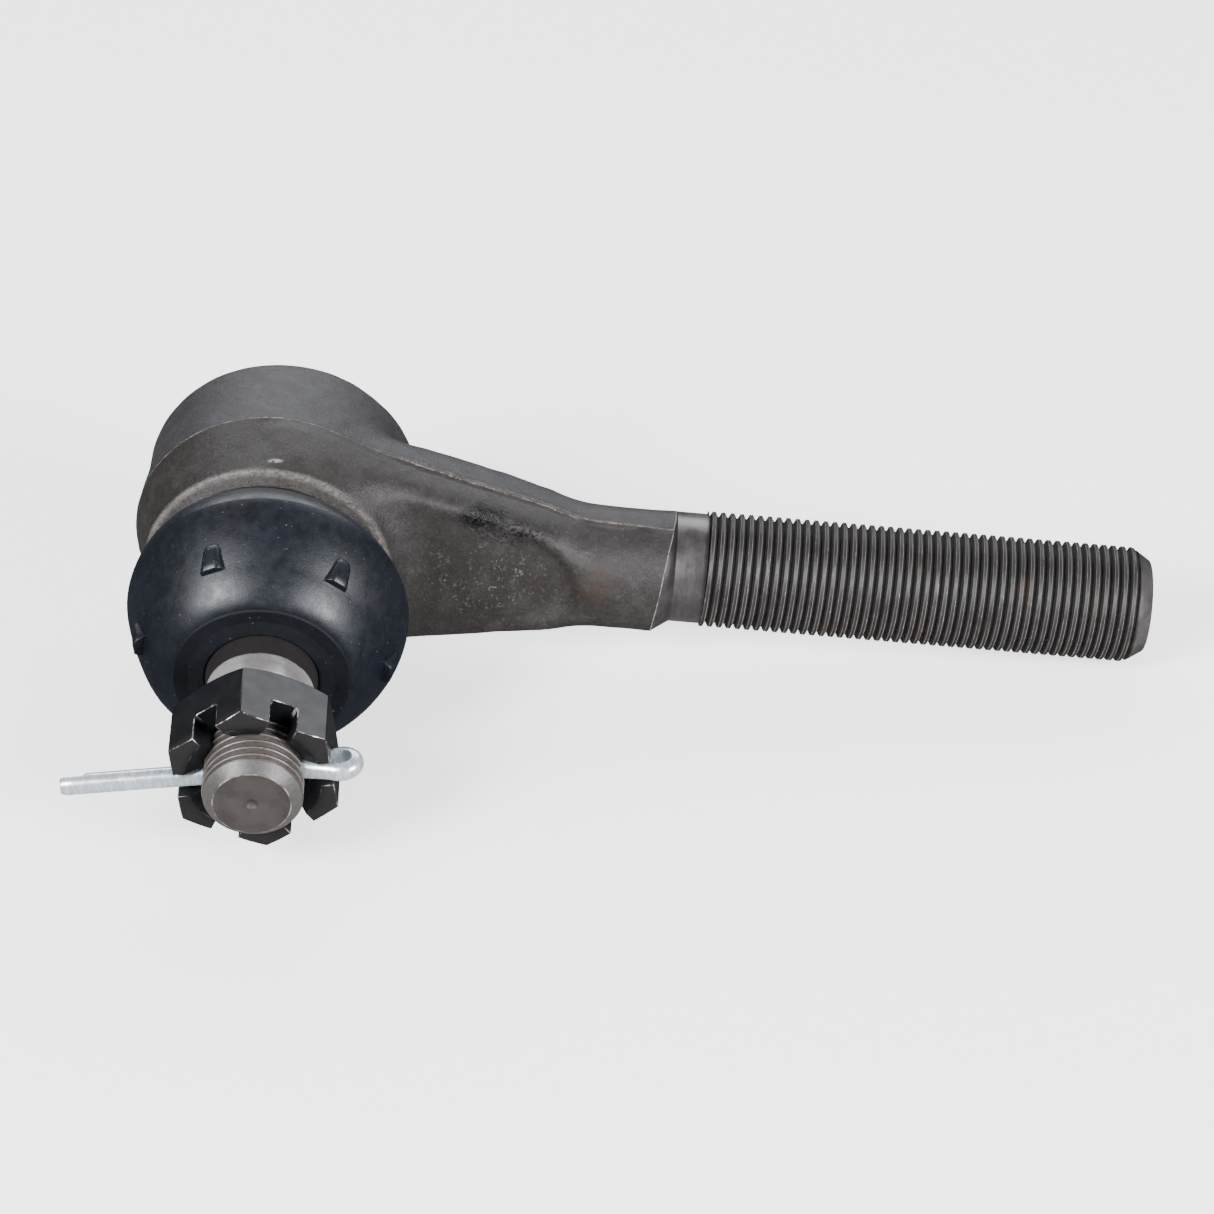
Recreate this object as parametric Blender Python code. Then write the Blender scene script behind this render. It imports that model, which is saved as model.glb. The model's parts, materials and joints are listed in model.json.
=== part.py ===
"""Outer tie rod end with its ball stud, dust boot, castle nut and split pin, lying on its side.

Every piece is drawn in the socket's own frame: the ball's centre is the origin, +X runs out along
the threaded shank, and the stud points along -Y when it is straight. The empty "lying_pose" then
lays the whole joint on a table, resting on the socket's rim and on the tip of the shank.
"""

import math

import bmesh
import bpy
import numpy as np
from mathutils import Matrix, Vector

MM = 0.001
GAP = 0.3  # clearance between neighbouring solids

# Forged socket
SOCKET_R = 20.6  # at the parting line, where the two drafts meet
RIM_R = 18.2
RIM_Y = -10.7
NECK_R = 15.3  # collar that the boot grips
NECK_Y = -14.9
REAR_R = 18.9
REAR_Y = 18.0
LIP_R = 15.2  # opening left by the lip that is rolled over the end cover

# Arm and threaded shank
ARM_END_X = 56.4
SHOULDER_X = 59.4
THREAD_X = 64.6
SHANK_END_X = 132.6
THREAD_R = 8.73  # 11/16 in, left-hand, 18 threads to the inch
MACHINED_R = 8.28
TIP_R = 6.9
TIP_CHAMFER = 2.6
POCKET_DEPTH = 1.8

# Ball stud
BALL_R = 12.7
STUD_NECK_R = 6.9
TAPER_BIG_R = 8.75
TAPER_SMALL_R = 7.5
TAPER_START = 26.0
TAPER_END = 41.5
STUD_THREAD_R = 7.14  # 9/16 in, 18 threads to the inch
STUD_LENGTH = 60.3
PIN_HOLE_R = 1.95

# Castle nut
NUT_FLATS = 22.2
NUT_HEIGHT = 12.0
NUT_CROWN = 55.4  # distance of the crown from the ball's centre
SLOT_WIDTH = 4.0
SLOT_DEPTH = 4.8

# Split pin
PIN_R = 1.45
PIN_AT = 53.3
PIN_TURN = 10.5  # degrees from the shank's direction, about the stud
LONG_LEG = 27.4
SHORT_LEG = 24.1
EYE_X = 13.1
EYE_R = 2.05

# Dust boot: distances are along the boot's bent axis, from the ball's centre
BOOT_R = 20.4
BOOT_BULGE_AT = 20.8
BOOT_BASE_AT = 12.4
BOOT_BASE_R = 16.8
BOOT_LIP_AT = 33.8
BOOT_LIP_R = 12.9
BOOT_HOLE_R = 8.8
BOOT_WALL = 1.9
BOOT_SHIFT = (0.8, 0.5)  # how far the bulge has slumped sideways and up
BOOT_NIBS = 6
NIB_AT = 29.0
NIB_TURN = 116.4  # degrees from the shank's direction

# Inside the socket
SEAT_R = 15.9
COVER_R = 16.5
COVER_Y = (15.6, 17.3)

# How the stud leans at rest, in degrees
REST_NOD = 4.5
REST_SWING = 1.9

SEGMENTS = 40


def material(name, colour, roughness, metallic):
    """A Principled material with the given colour, roughness and metallic value."""
    made = bpy.data.materials.new(name)
    made.use_nodes = True
    shader = made.node_tree.nodes["Principled BSDF"]
    shader.inputs["Base Color"].default_value = (*colour, 1.0)
    shader.inputs["Roughness"].default_value = roughness
    shader.inputs["Metallic"].default_value = metallic
    return made


def finish_mesh(name, bm, look, parent, smooth_angle=35.0):
    """Turns a bmesh drawn in millimetres into a named object in metres."""
    bmesh.ops.remove_doubles(bm, verts=bm.verts, dist=1e-5)
    bmesh.ops.dissolve_degenerate(bm, edges=bm.edges, dist=1e-6)
    bmesh.ops.recalc_face_normals(bm, faces=bm.faces)
    bmesh.ops.scale(bm, vec=Vector((MM, MM, MM)), verts=bm.verts)
    mesh = bpy.data.meshes.new(name)
    bm.to_mesh(mesh)
    bm.free()
    mesh.shade_smooth()
    mesh.set_sharp_from_angle(angle=math.radians(smooth_angle))
    obj = bpy.data.objects.new(name, mesh)
    bpy.context.scene.collection.objects.link(obj)
    obj.parent = parent
    if look is None:
        obj.hide_render = True
        obj.display_type = "WIRE"
    else:
        mesh.materials.append(look)
    return obj


def turned(profile, closed, segments=SEGMENTS, axis="Y"):
    """Spins a profile of (radius, distance) points about the Y axis, or about X."""
    bm = bmesh.new()
    about_y = axis == "Y"
    verts = [bm.verts.new((r, d, 0) if about_y else (d, r, 0)) for r, d in profile]
    for a, b in zip(verts, verts[1:]):
        bm.edges.new((a, b))
    if closed:
        bm.edges.new((verts[-1], verts[0]))
    bmesh.ops.spin(
        bm,
        geom=bm.verts[:] + bm.edges[:],
        axis=(0, 1, 0) if about_y else (1, 0, 0),
        cent=(0, 0, 0),
        angle=2 * math.pi,
        steps=segments,
        use_duplicate=False,
    )
    bmesh.ops.remove_doubles(bm, verts=bm.verts, dist=1e-4)
    return bm


def lofted(rings):
    """A closed skin over rings of equal length, with a flat cap on the first and the last."""
    bm = bmesh.new()
    loops = [[bm.verts.new(p) for p in ring] for ring in rings]
    count = len(loops[0])
    for lower, upper in zip(loops, loops[1:]):
        for i in range(count):
            j = (i + 1) % count
            bm.faces.new((lower[i], lower[j], upper[j], upper[i]))
    bm.faces.new(loops[0])
    bm.faces.new(loops[-1])
    return bm


def arc(radius, start, end, steps, centre=(0.0, 0.0)):
    """Points (r, d) on an arc whose angle, in degrees, is measured from the +d axis."""
    angles = np.radians(np.linspace(start, end, steps))
    return [(centre[0] + radius * math.sin(a), centre[1] + radius * math.cos(a)) for a in angles]


def combine(obj, cutter, operation):
    """Adds an exact Boolean of obj with cutter, which is then only a guide."""
    modifier = obj.modifiers.new(operation.lower(), "BOOLEAN")
    modifier.operation = operation
    modifier.solver = "EXACT"
    modifier.object = cutter
    cutter.hide_render = True
    cutter.display_type = "WIRE"
    return obj


def blend(a, b, t):
    """Eases from a to b as t goes from 0 to 1."""
    t = min(max(t, 0.0), 1.0)
    return a + (b - a) * t * t * (3 - 2 * t)


def window(value, low, high, edge):
    """1 between low and high, falling smoothly to 0 over the edge's width inside them."""
    return blend(0, 1, (value - low) / edge) * blend(0, 1, (high - value) / edge)


# ---------------------------------------------------------------- socket forging


def arm_half_sizes(x):
    """Half height and half depth of the arm, and how square its section is, at x."""
    along = np.array([6.0, 16.0, 20.5, 28.5, 35.0, 42.0, 48.0, ARM_END_X])
    height = np.array([17.6, 15.9, 14.1, 12.3, 10.9, 9.5, 9.15, 9.1])
    depth = np.array([9.6, 9.2, 8.8, 8.1, 7.8, 8.0, 8.8, 9.1])
    power = np.array([4.0, 4.0, 4.0, 3.8, 3.6, 3.0, 2.2, 2.0])
    return tuple(float(np.interp(x, along, values)) for values in (height, depth, power))


def arm_section(x, count=SEGMENTS):
    """Ring of points round the arm at x, with the shallow pocket on the stud's side."""
    height, depth, power = arm_half_sizes(x)
    sag = blend(0.0, -0.5, (x - 25.0) / 25.0)
    ring = []
    for i in range(count):
        a = 2 * math.pi * (i + 0.5) / count
        c, s = math.cos(a), math.sin(a)
        y = depth * math.copysign(abs(c) ** (2 / power), c)
        z = height * math.copysign(abs(s) ** (2 / power), s)
        if y < 0:
            hollow = window(x, 21.0, 49.0, 5.0) * window(z, 1.6 - height, height - 1.6, 3.0)
            y += POCKET_DEPTH * hollow
        ring.append((x, y, z + sag))
    return ring


def socket_outline():
    """Outer half-section of the socket, front to rear, closed along its axis."""
    return [
        (0, NECK_Y),
        (NECK_R, NECK_Y),
        (NECK_R, RIM_Y - 0.9),
        (RIM_R - 0.5, RIM_Y - 0.4),
        (RIM_R, RIM_Y + 0.3),
        (SOCKET_R - 0.1, -0.8),
        (SOCKET_R, 0),
        (SOCKET_R - 0.1, 0.8),
        (REAR_R + 0.3, 12.5),
        (REAR_R - 0.3, 15.6),
        (REAR_R - 1.3, 17.3),
        (REAR_R - 2.6, REAR_Y),
        (0, REAR_Y),
    ]


def cavity_outline():
    """Half-section of everything that is bored out of the socket, front to rear."""
    mouth_r = BALL_R * math.sin(math.radians(56))
    mouth_y = -BALL_R * math.cos(math.radians(56))
    return [
        (0, NECK_Y - 1.0),
        (NECK_R - 1.2, NECK_Y - 1.0),
        (NECK_R - 1.6, NECK_Y + 0.4),
        (mouth_r + 0.7, mouth_y - 0.9),
        (SEAT_R - 2.6, mouth_y - 0.9),
        (SEAT_R + GAP, mouth_y + 2.2),
        (SEAT_R + GAP, COVER_Y[0] - GAP),
        (COVER_R + GAP, COVER_Y[0] - GAP),
        (COVER_R + GAP, COVER_Y[1] - 0.2),
        (LIP_R, COVER_Y[1] - 0.2),
        (LIP_R - 0.3, REAR_Y + 1.0),
        (0, REAR_Y + 1.0),
    ]


def shank_outline():
    """Half-section of the machined shank, from inside the arm to its tip."""
    return [
        (0, ARM_END_X - 12.0),
        (7.6, ARM_END_X - 12.0),
        (7.6, ARM_END_X - 1.0),
        (8.9, ARM_END_X - 0.6),
        (8.9, ARM_END_X + 0.3),
        (MACHINED_R, SHOULDER_X),
        (MACHINED_R, THREAD_X),
        (THREAD_R, THREAD_X + 0.5),
        (THREAD_R, SHANK_END_X - TIP_CHAMFER),
        (TIP_R, SHANK_END_X),
        (0, SHANK_END_X),
    ]


def make_socket(parent, look):
    """The forging: socket, arm and threaded shank in one piece."""
    body = finish_mesh("socket_forging", turned(socket_outline(), False), look, parent)
    stations = [6.0, 12.0, 16.5, 20.5, 24.0, 28.5, 33.0, 38.0, 43.0, 46.5, 50.0, 53.0, ARM_END_X]
    arm = finish_mesh("arm_guide", lofted([arm_section(x) for x in stations]), None, parent)
    shank = finish_mesh("shank_guide", turned(shank_outline(), False, axis="X"), None, parent)
    bore = finish_mesh("cavity_guide", turned(cavity_outline(), False), None, parent)
    combine(body, arm, "UNION")
    combine(body, shank, "UNION")
    combine(body, bore, "DIFFERENCE")
    return body


# ---------------------------------------------------------------- inside the socket


def make_bearings(parent, look):
    """The front seat, fixed in the socket, and the pressure seat that the spring pushes."""
    hollow = BALL_R + GAP
    front = arc(hollow, 124, 92, 8)
    front += [(SEAT_R, front[-1][1]), (SEAT_R, -4.7), (SEAT_R - 2.9, front[0][1] - 0.3)]
    finish_mesh("front_bearing_seat", turned(front, True), look, parent)
    rear = arc(hollow, 88, 24, 9)
    rear += [(rear[-1][0], 13.6), (SEAT_R - 0.4, 13.6), (SEAT_R - 0.1, rear[0][1])]
    finish_mesh("pressure_seat", turned(rear, True), look, parent)


def make_disc_spring(parent, look):
    """The dished spring washer between the pressure seat and the end cover."""
    inner, outer, thick, rise = 6.2, 13.4, 0.8, 0.4
    low = 13.6 + GAP
    profile = [(inner, low), (inner, low + thick), (outer, low + thick + rise)]
    profile += [(outer, low + rise)]
    finish_mesh("preload_spring", turned(profile, True), look, parent)


def make_end_cover(parent, look):
    """The pressed plate that closes the rear, tapped in its middle for the grease fitting."""
    hole = 3.2 + GAP
    inside, outside = COVER_Y
    profile = [
        (hole, inside),
        (COVER_R, inside),
        (COVER_R, outside - 0.5),
        (LIP_R - 0.9, outside - 0.5),
        (LIP_R - 1.3, outside),
        (6.2, outside),
        (5.8, outside - GAP),
        (hole, outside - GAP),
    ]
    finish_mesh("end_cover", turned(profile, True), look, parent)


def make_grease_fitting(parent, look):
    """The fitting's body: hexagon, waist and nipple, bored through for the check valve."""
    seat = COVER_Y[1]
    flats, hex_height = 8.0, 2.9
    corner = flats / 2 / math.cos(math.pi / 6)
    profile = [
        (0, COVER_Y[0] - 1.0),
        (2.9, COVER_Y[0] - 1.0),
        (3.2, COVER_Y[0] - 0.6),
        (3.2, seat + 0.5),
        (3.4, seat + 0.5),
        (3.4, seat + hex_height),
        (2.5, seat + hex_height + 0.4),
        (2.3, seat + 5.5),
        (3.1, seat + 6.5),
        (3.2, seat + 7.3),
        (2.4, seat + 8.3),
        (1.9, seat + 8.9),
        (0, seat + 8.9),
    ]
    body = finish_mesh("grease_fitting", turned(profile, False, 28), look, parent)
    turns = [math.pi / 3 * i for i in range(6)]
    ring = [(corner * math.cos(t), corner * math.sin(t)) for t in turns]
    levels = [(0.9, seat), (1.0, seat + 0.4), (1.0, seat + hex_height - 0.5), (0.86, seat + hex_height)]
    loops = [[(x * k, y, z * k) for x, z in ring] for k, y in levels]
    hexagon = finish_mesh("hexagon_guide", lofted(loops), None, parent)
    nose = seat + 8.9
    bore = [(0, COVER_Y[0] - 2.0), (0.9, COVER_Y[0] - 2.0), (0.9, seat + 1.0), (1.35, seat + 1.4)]
    bore += [(1.35, nose - 1.3), (0.75, nose - 0.5), (0.9, nose + 0.5), (0, nose + 0.5)]
    hole = finish_mesh("grease_bore_guide", turned(bore, False, 20), None, parent)
    combine(body, hexagon, "UNION")
    combine(body, hole, "DIFFERENCE")
    return nose


def make_check_valve(parent, nose, ball_look, spring_look):
    """The ball that closes the fitting's nose, and the wire spring behind it."""
    radius = 0.9
    centre = nose - 2.0
    profile = arc(radius, 180, 0, 9, (0.0, centre))
    finish_mesh("check_ball", turned(profile, False, 16), ball_look, parent)
    wire, coil_r, coils = 0.16, 0.8, 4
    start, end = nose - 7.0, centre - radius - GAP - wire
    steps = 12 * coils
    rings = []
    for i in range(steps + 1):
        a = 2 * math.pi * coils * i / steps
        middle = Vector((coil_r * math.cos(a), start + (end - start) * i / steps, coil_r * math.sin(a)))
        outward = Vector((math.cos(a), 0, math.sin(a)))
        ring = []
        for k in range(6):
            b = 2 * math.pi * k / 6
            ring.append(middle + wire * (math.cos(b) * outward + math.sin(b) * Vector((0, 1, 0))))
        rings.append(ring)
    finish_mesh("check_spring", lofted(rings), spring_look, parent)


# ---------------------------------------------------------------- stud, nut and split pin


def stud_outline():
    """Half-section of the stud from the back of its ball to its tip, with the tip along -Y."""
    neck_meets_ball = math.degrees(math.asin(STUD_NECK_R / BALL_R))
    profile = [(0, 0.94 * BALL_R)]
    profile += arc(BALL_R, math.degrees(math.acos(0.94)), 180 - neck_meets_ball, 15)
    profile += [
        (STUD_NECK_R, -17.5),
        (STUD_NECK_R + 0.5, -20.5),
        (TAPER_BIG_R - 0.3, -24.6),
        (TAPER_BIG_R, -TAPER_START),
        (TAPER_SMALL_R, -TAPER_END),
        (STUD_THREAD_R, -TAPER_END - 0.3),
        (STUD_THREAD_R, 1.4 - STUD_LENGTH),
        (5.65, -STUD_LENGTH),
        (1.0, -STUD_LENGTH),
        (0, 0.6 - STUD_LENGTH),
    ]
    return profile


def make_stud(parent, look):
    """The ball stud, with the cross hole for the split pin."""
    stud = finish_mesh("ball_stud", turned(stud_outline(), False), look, parent)
    drill = turned([(0, -12), (PIN_HOLE_R, -12), (PIN_HOLE_R, 12), (0, 12)], False, 20, axis="X")
    hole = finish_mesh("pin_hole_guide", drill, None, parent)
    hole.location = (0, -PIN_AT * MM, 0)
    hole.rotation_euler = (0, -math.radians(PIN_TURN), 0)
    combine(stud, hole, "DIFFERENCE")
    return stud


def make_nut(parent, look):
    """The slotted hexagon nut, its slots in the middle of its flats."""
    corner = NUT_FLATS / 2 / math.cos(math.pi / 6)
    crown, face = -NUT_CROWN, NUT_HEIGHT - NUT_CROWN
    turns = [math.pi / 3 * (i + 0.5) for i in range(6)]
    prism = lofted([[(corner * math.cos(t), y, corner * math.sin(t)) for t in turns] for y in (crown, face)])
    nut = finish_mesh("castle_nut", prism, look, parent)
    flat = NUT_FLATS / 2
    drop = (corner + 1 - flat) * math.tan(math.radians(30))
    chamfer = [(0, crown - 1), (corner + 1, crown - 1), (corner + 1, face - drop), (flat, face), (0, face)]
    combine(nut, finish_mesh("nut_chamfer_guide", turned(chamfer, False), None, parent), "INTERSECT")
    bore_r = STUD_THREAD_R + GAP
    bore = [
        (0, crown - 1.6),
        (bore_r + 2.0, crown - 1.6),
        (bore_r + 0.1, crown + 0.6),
        (bore_r, crown + 0.7),
        (bore_r, face - 0.6),
        (bore_r + 0.9, face + 0.3),
        (0, face + 0.3),
    ]
    combine(nut, finish_mesh("nut_bore_guide", turned(bore, False), None, parent), "DIFFERENCE")
    half, long, deep = SLOT_WIDTH / 2, 16.0, SLOT_DEPTH
    for i in range(3):
        outline = [(-long, -half), (long, -half), (long, half), (-long, half)]
        box = lofted([[(x, y, z) for x, z in outline] for y in (crown - 3, crown + deep)])
        cutter = finish_mesh(f"slot_guide_{i}", box, None, parent)
        cutter.rotation_euler = (0, math.pi / 3 * i, 0)
        combine(nut, cutter, "DIFFERENCE")
    nut.rotation_euler = (0, -math.radians(PIN_TURN), 0)
    for modifier in nut.modifiers:
        modifier.object.parent = nut
    return nut


def pin_path():
    """Centre line of the pin's wire, in the plane of its eye: long leg, eye, short leg."""
    half = GAP / 2
    leg = [(-LONG_LEG, -half), (-12.0, -half), (0.0, -half), (7.6, -half)]
    eye = []
    for degrees in range(-140, 141, 20):
        a = math.radians(degrees)
        eye.append((EYE_X + EYE_R * math.cos(a), EYE_R * math.sin(a)))
    back = [(7.6, half), (0.0, half), (-12.0, half), (-SHORT_LEG, half)]
    return leg + eye + back


def make_split_pin(parent, look):
    """Half-round wire folded back on itself round an eye; its legs lie flat to flat."""
    path = [Vector(p) for p in pin_path()]
    last = len(path) - 1
    rings = []
    for i, point in enumerate(path):
        ahead = (path[min(i + 1, last)] - path[max(i - 1, 0)]).normalized()
        outward = Vector((ahead.y, -ahead.x))
        tip = i in (0, last)
        radius = PIN_R * (0.8 if tip else 1.0)
        ring = []
        for k in range(9):
            a = math.pi * k / 8
            out, side = radius * math.sin(a), radius * math.cos(a)
            ring.append((point.x + outward.x * out, point.y + outward.y * out, side))
        rings.append(ring)
    pin = finish_mesh("split_pin", lofted(rings), look, parent)
    pin.location = (0, -PIN_AT * MM, 0)
    pin.rotation_euler = (0, -math.radians(PIN_TURN), 0)
    return pin


# ---------------------------------------------------------------- dust boot


def boot_centre(distance, lean):
    """Point on the boot's bent axis: it leaves the socket's axis for the stud's."""
    share = blend(0.0, 1.0, (distance - 15.0) / (BOOT_LIP_AT - 19.0))
    straight = Vector((0, -distance, 0))
    centre = straight.lerp(lean @ straight, share)
    slump = math.sin(math.pi * min(max((distance - 15.0) / 14.0, 0.0), 1.0))
    centre += Vector((BOOT_SHIFT[0] * slump, 0, BOOT_SHIFT[1] * slump))
    return centre, share


def boot_ring(radius, distance, lean, count=SEGMENTS):
    """Ring of the boot, turned from the socket's axis towards the stud's."""
    centre, share = boot_centre(distance, lean)
    turn = Matrix.Identity(3).to_quaternion().slerp(lean.to_quaternion(), share)
    ring = []
    for i in range(count):
        a = 2 * math.pi * i / count
        ring.append(centre + turn @ Vector((radius * math.cos(a), 0, radius * math.sin(a))))
    return ring


def shoulder(start, end, fullness, steps):
    """Points from the bulge (largest radius) at start down to end, as a part of a superellipse."""
    points = []
    for i in range(steps):
        t = math.pi / 2 * i / (steps - 1)
        c, s = math.cos(t) ** (2 / fullness), math.sin(t) ** (2 / fullness)
        points.append((end[0] + (start[0] - end[0]) * c, start[1] + (end[1] - start[1]) * s))
    return points


def boot_profile():
    """Closed half-section of the boot: outside from base to lip, then inside back again."""
    bulge = (BOOT_R, BOOT_BULGE_AT)
    outside = [(BOOT_BASE_R - 0.4, BOOT_BASE_AT), (BOOT_BASE_R, BOOT_BASE_AT + 0.6)]
    outside += shoulder(bulge, (BOOT_BASE_R, BOOT_BASE_AT + 2.1), 1.4, 6)[::-1]
    outside += shoulder(bulge, (BOOT_LIP_R, BOOT_LIP_AT - 0.3), 1.38, 8)[1:]
    hole = BOOT_HOLE_R
    groove = (BOOT_LIP_AT - 0.9, BOOT_LIP_AT - 2.7)
    lip = [(BOOT_LIP_R - 0.4, BOOT_LIP_AT), (hole, BOOT_LIP_AT), (hole, groove[0])]
    lip += [(hole + 1.5, groove[0]), (hole + 1.5, groove[1]), (hole, groove[1])]
    lip += [(hole, BOOT_LIP_AT - 3.4)]
    inner_bulge = (BOOT_R - BOOT_WALL, BOOT_BULGE_AT)
    inside = shoulder(inner_bulge, (BOOT_LIP_R - 2.2, BOOT_LIP_AT - 4.4), 1.38, 7)[::-1]
    grip = NECK_R + GAP
    inside += shoulder(inner_bulge, (grip + 0.6, 17.0), 1.4, 4)[1:]
    inside += [(grip, 16.6), (grip, 15.0), (grip + 0.9, 15.0), (grip + 0.9, 13.3), (grip, 13.3)]
    inside += [(grip, BOOT_BASE_AT)]
    return outside + lip + inside


def make_boot(parent, look, lean):
    """The rubber boot, one closed skin that encloses the grease space, with its moulded nibs."""
    bm = bmesh.new()
    loops = [[bm.verts.new(p) for p in boot_ring(r, d, lean)] for r, d in boot_profile()]
    for lower, upper in zip(loops, loops[1:] + loops[:1]):
        for i in range(SEGMENTS):
            j = (i + 1) % SEGMENTS
            bm.faces.new((lower[i], lower[j], upper[j], upper[i]))
    boot = finish_mesh("dust_boot", bm, look, parent, 50.0)
    front = shoulder((BOOT_R, BOOT_BULGE_AT), (BOOT_LIP_R, BOOT_LIP_AT - 0.3), 1.38, 40)
    radius = float(np.interp(NIB_AT, [d for r, d in front], [r for r, d in front]))
    centre, _ = boot_centre(NIB_AT, lean)
    for i in range(BOOT_NIBS):
        turn = 2 * math.pi * i / BOOT_NIBS + math.radians(NIB_TURN)
        spot = centre + Vector((radius * math.cos(turn), 0, radius * math.sin(turn)))
        nib = bmesh.new()
        bmesh.ops.create_cone(nib, cap_ends=True, segments=4, radius1=1.3, radius2=0.6, depth=2.2)
        guide = finish_mesh(f"nib_guide_{i}", nib, None, parent)
        guide.location = spot * MM
        outward = Vector((math.cos(turn), -0.6, math.sin(turn)))
        guide.rotation_euler = outward.to_track_quat("Z", "Y").to_euler()
        combine(boot, guide, "UNION")
    return boot


def make_boot_rings(base_parent, lip_parent, look):
    """The steel rings moulded into the boot: one grips the socket's collar, one the stud."""
    inner = NECK_R + GAP + 0.05
    base = [(inner, -14.7), (inner + 0.55, -14.7), (inner + 0.55, -13.6), (inner, -13.6)]
    finish_mesh("boot_base_ring", turned(base, True), look, base_parent)
    near, far = BOOT_LIP_AT - 1.2, BOOT_LIP_AT - 2.4
    inner = BOOT_HOLE_R + 0.2
    lip = [(inner, -near), (inner + 1.0, -near), (inner + 1.0, -far), (inner, -far)]
    finish_mesh("boot_lip_ring", turned(lip, True), look, lip_parent)


# ---------------------------------------------------------------- assembly


def empty(name, parent=None):
    """A named frame that pieces are parented to."""
    made = bpy.data.objects.new(name, None)
    bpy.context.scene.collection.objects.link(made)
    made.parent = parent
    return made


def lay_down(frame):
    """Rests the joint on the socket's rim and the shank's tip, centred over the origin."""
    reach = SHANK_END_X - TIP_CHAMFER
    frame.rotation_euler = (0, math.asin((SOCKET_R - THREAD_R) / reach), 0)
    bpy.context.view_layer.update()
    graph = bpy.context.evaluated_depsgraph_get()
    points = []
    for obj in bpy.context.scene.objects:
        if obj.type == "MESH" and not obj.hide_render:
            shape = obj.evaluated_get(graph)
            points += [shape.matrix_world @ v.co for v in shape.data.vertices]
    low = Vector([min(p[k] for p in points) for k in range(3)])
    high = Vector([max(p[k] for p in points) for k in range(3)])
    frame.location = (-(low.x + high.x) / 2, -(low.y + high.y) / 2, -low.z)
    bpy.context.view_layer.update()


def main():
    for obj in list(bpy.data.objects):
        bpy.data.objects.remove(obj)
    forged = material("forged_steel", (0.10, 0.088, 0.085), 0.62, 0.55)
    turned_steel = material("machined_steel", (0.30, 0.27, 0.25), 0.35, 1.0)
    plated = material("zinc_plated_steel", (0.72, 0.76, 0.80), 0.25, 1.0)
    spring_steel = material("spring_steel", (0.22, 0.22, 0.23), 0.35, 1.0)
    blacked = material("black_oxide_steel", (0.02, 0.021, 0.024), 0.28, 0.6)
    rubber = material("boot_rubber", (0.012, 0.015, 0.022), 0.42, 0.0)
    plastic = material("bearing_plastic", (0.78, 0.76, 0.68), 0.4, 0.0)
    cover_steel = material("cover_steel", (0.12, 0.11, 0.105), 0.5, 0.7)
    frame = empty("lying_pose")
    lean = Matrix.Rotation(math.radians(REST_NOD), 3, "X") @ Matrix.Rotation(math.radians(REST_SWING), 3, "Z")
    ball_joint = empty("ball_joint", frame)
    ball_joint.rotation_euler = lean.to_euler()
    make_socket(frame, forged)
    make_bearings(frame, plastic)
    make_disc_spring(frame, spring_steel)
    make_end_cover(frame, cover_steel)
    nose = make_grease_fitting(frame, plated)
    make_check_valve(frame, nose, turned_steel, spring_steel)
    make_stud(ball_joint, turned_steel)
    make_nut(ball_joint, blacked)
    make_split_pin(ball_joint, plated)
    make_boot(frame, rubber, lean)
    make_boot_rings(frame, ball_joint, spring_steel)
    lay_down(frame)


main()
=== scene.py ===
"""The looks of an outer tie rod end: forged socket and arm, threaded shank, boot, stud and castle nut.

Shapes are drawn in millimetres in the socket's own frame, with the ball's centre at the origin, +X out
along the shank and the stud along -Y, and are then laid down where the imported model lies.
"""

import json
import math

import bmesh
import bpy
import numpy as np
from mathutils import Matrix, Vector

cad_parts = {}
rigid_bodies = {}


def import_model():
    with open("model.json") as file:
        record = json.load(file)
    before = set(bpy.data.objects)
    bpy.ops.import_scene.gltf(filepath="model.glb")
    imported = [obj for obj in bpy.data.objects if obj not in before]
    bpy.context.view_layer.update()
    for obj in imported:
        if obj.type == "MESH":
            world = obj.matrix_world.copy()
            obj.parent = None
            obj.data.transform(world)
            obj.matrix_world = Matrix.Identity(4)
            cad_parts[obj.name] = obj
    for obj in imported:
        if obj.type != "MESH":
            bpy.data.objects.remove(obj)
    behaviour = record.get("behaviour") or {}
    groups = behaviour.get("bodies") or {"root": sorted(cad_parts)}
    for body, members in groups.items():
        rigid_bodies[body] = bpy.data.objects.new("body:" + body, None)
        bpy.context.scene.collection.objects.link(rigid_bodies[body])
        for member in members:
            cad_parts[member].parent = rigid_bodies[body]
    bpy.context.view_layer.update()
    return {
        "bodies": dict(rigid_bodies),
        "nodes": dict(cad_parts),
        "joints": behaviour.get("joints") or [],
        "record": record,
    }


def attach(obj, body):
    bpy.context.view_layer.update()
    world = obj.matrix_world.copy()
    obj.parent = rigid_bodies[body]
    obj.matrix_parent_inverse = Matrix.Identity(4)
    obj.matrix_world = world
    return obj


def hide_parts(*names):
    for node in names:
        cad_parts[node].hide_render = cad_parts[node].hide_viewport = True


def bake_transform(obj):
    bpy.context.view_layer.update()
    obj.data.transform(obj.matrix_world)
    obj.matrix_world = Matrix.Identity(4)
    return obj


MM = 0.001

# Forging
SOCKET_R = 20.6
RIM_R = 18.3
RIM_Y = -10.7
COLLAR_R = 15.3
COLLAR_Y = -14.9
REAR_R = 20.45
REAR_ASIDE = 0.5  # how far the rear of the forging stands towards the shank
REAR_Y = 18.0
LIP_R = 15.2
CELL = 0.4  # grid on which the forging's skin is found
PARTING_Y = -0.2
FLASH_STEPS = ((12.0, 22.0, -1.3), (36.0, 16.0, -1.1))  # start, length and change in Y of the flash's bends

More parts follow.
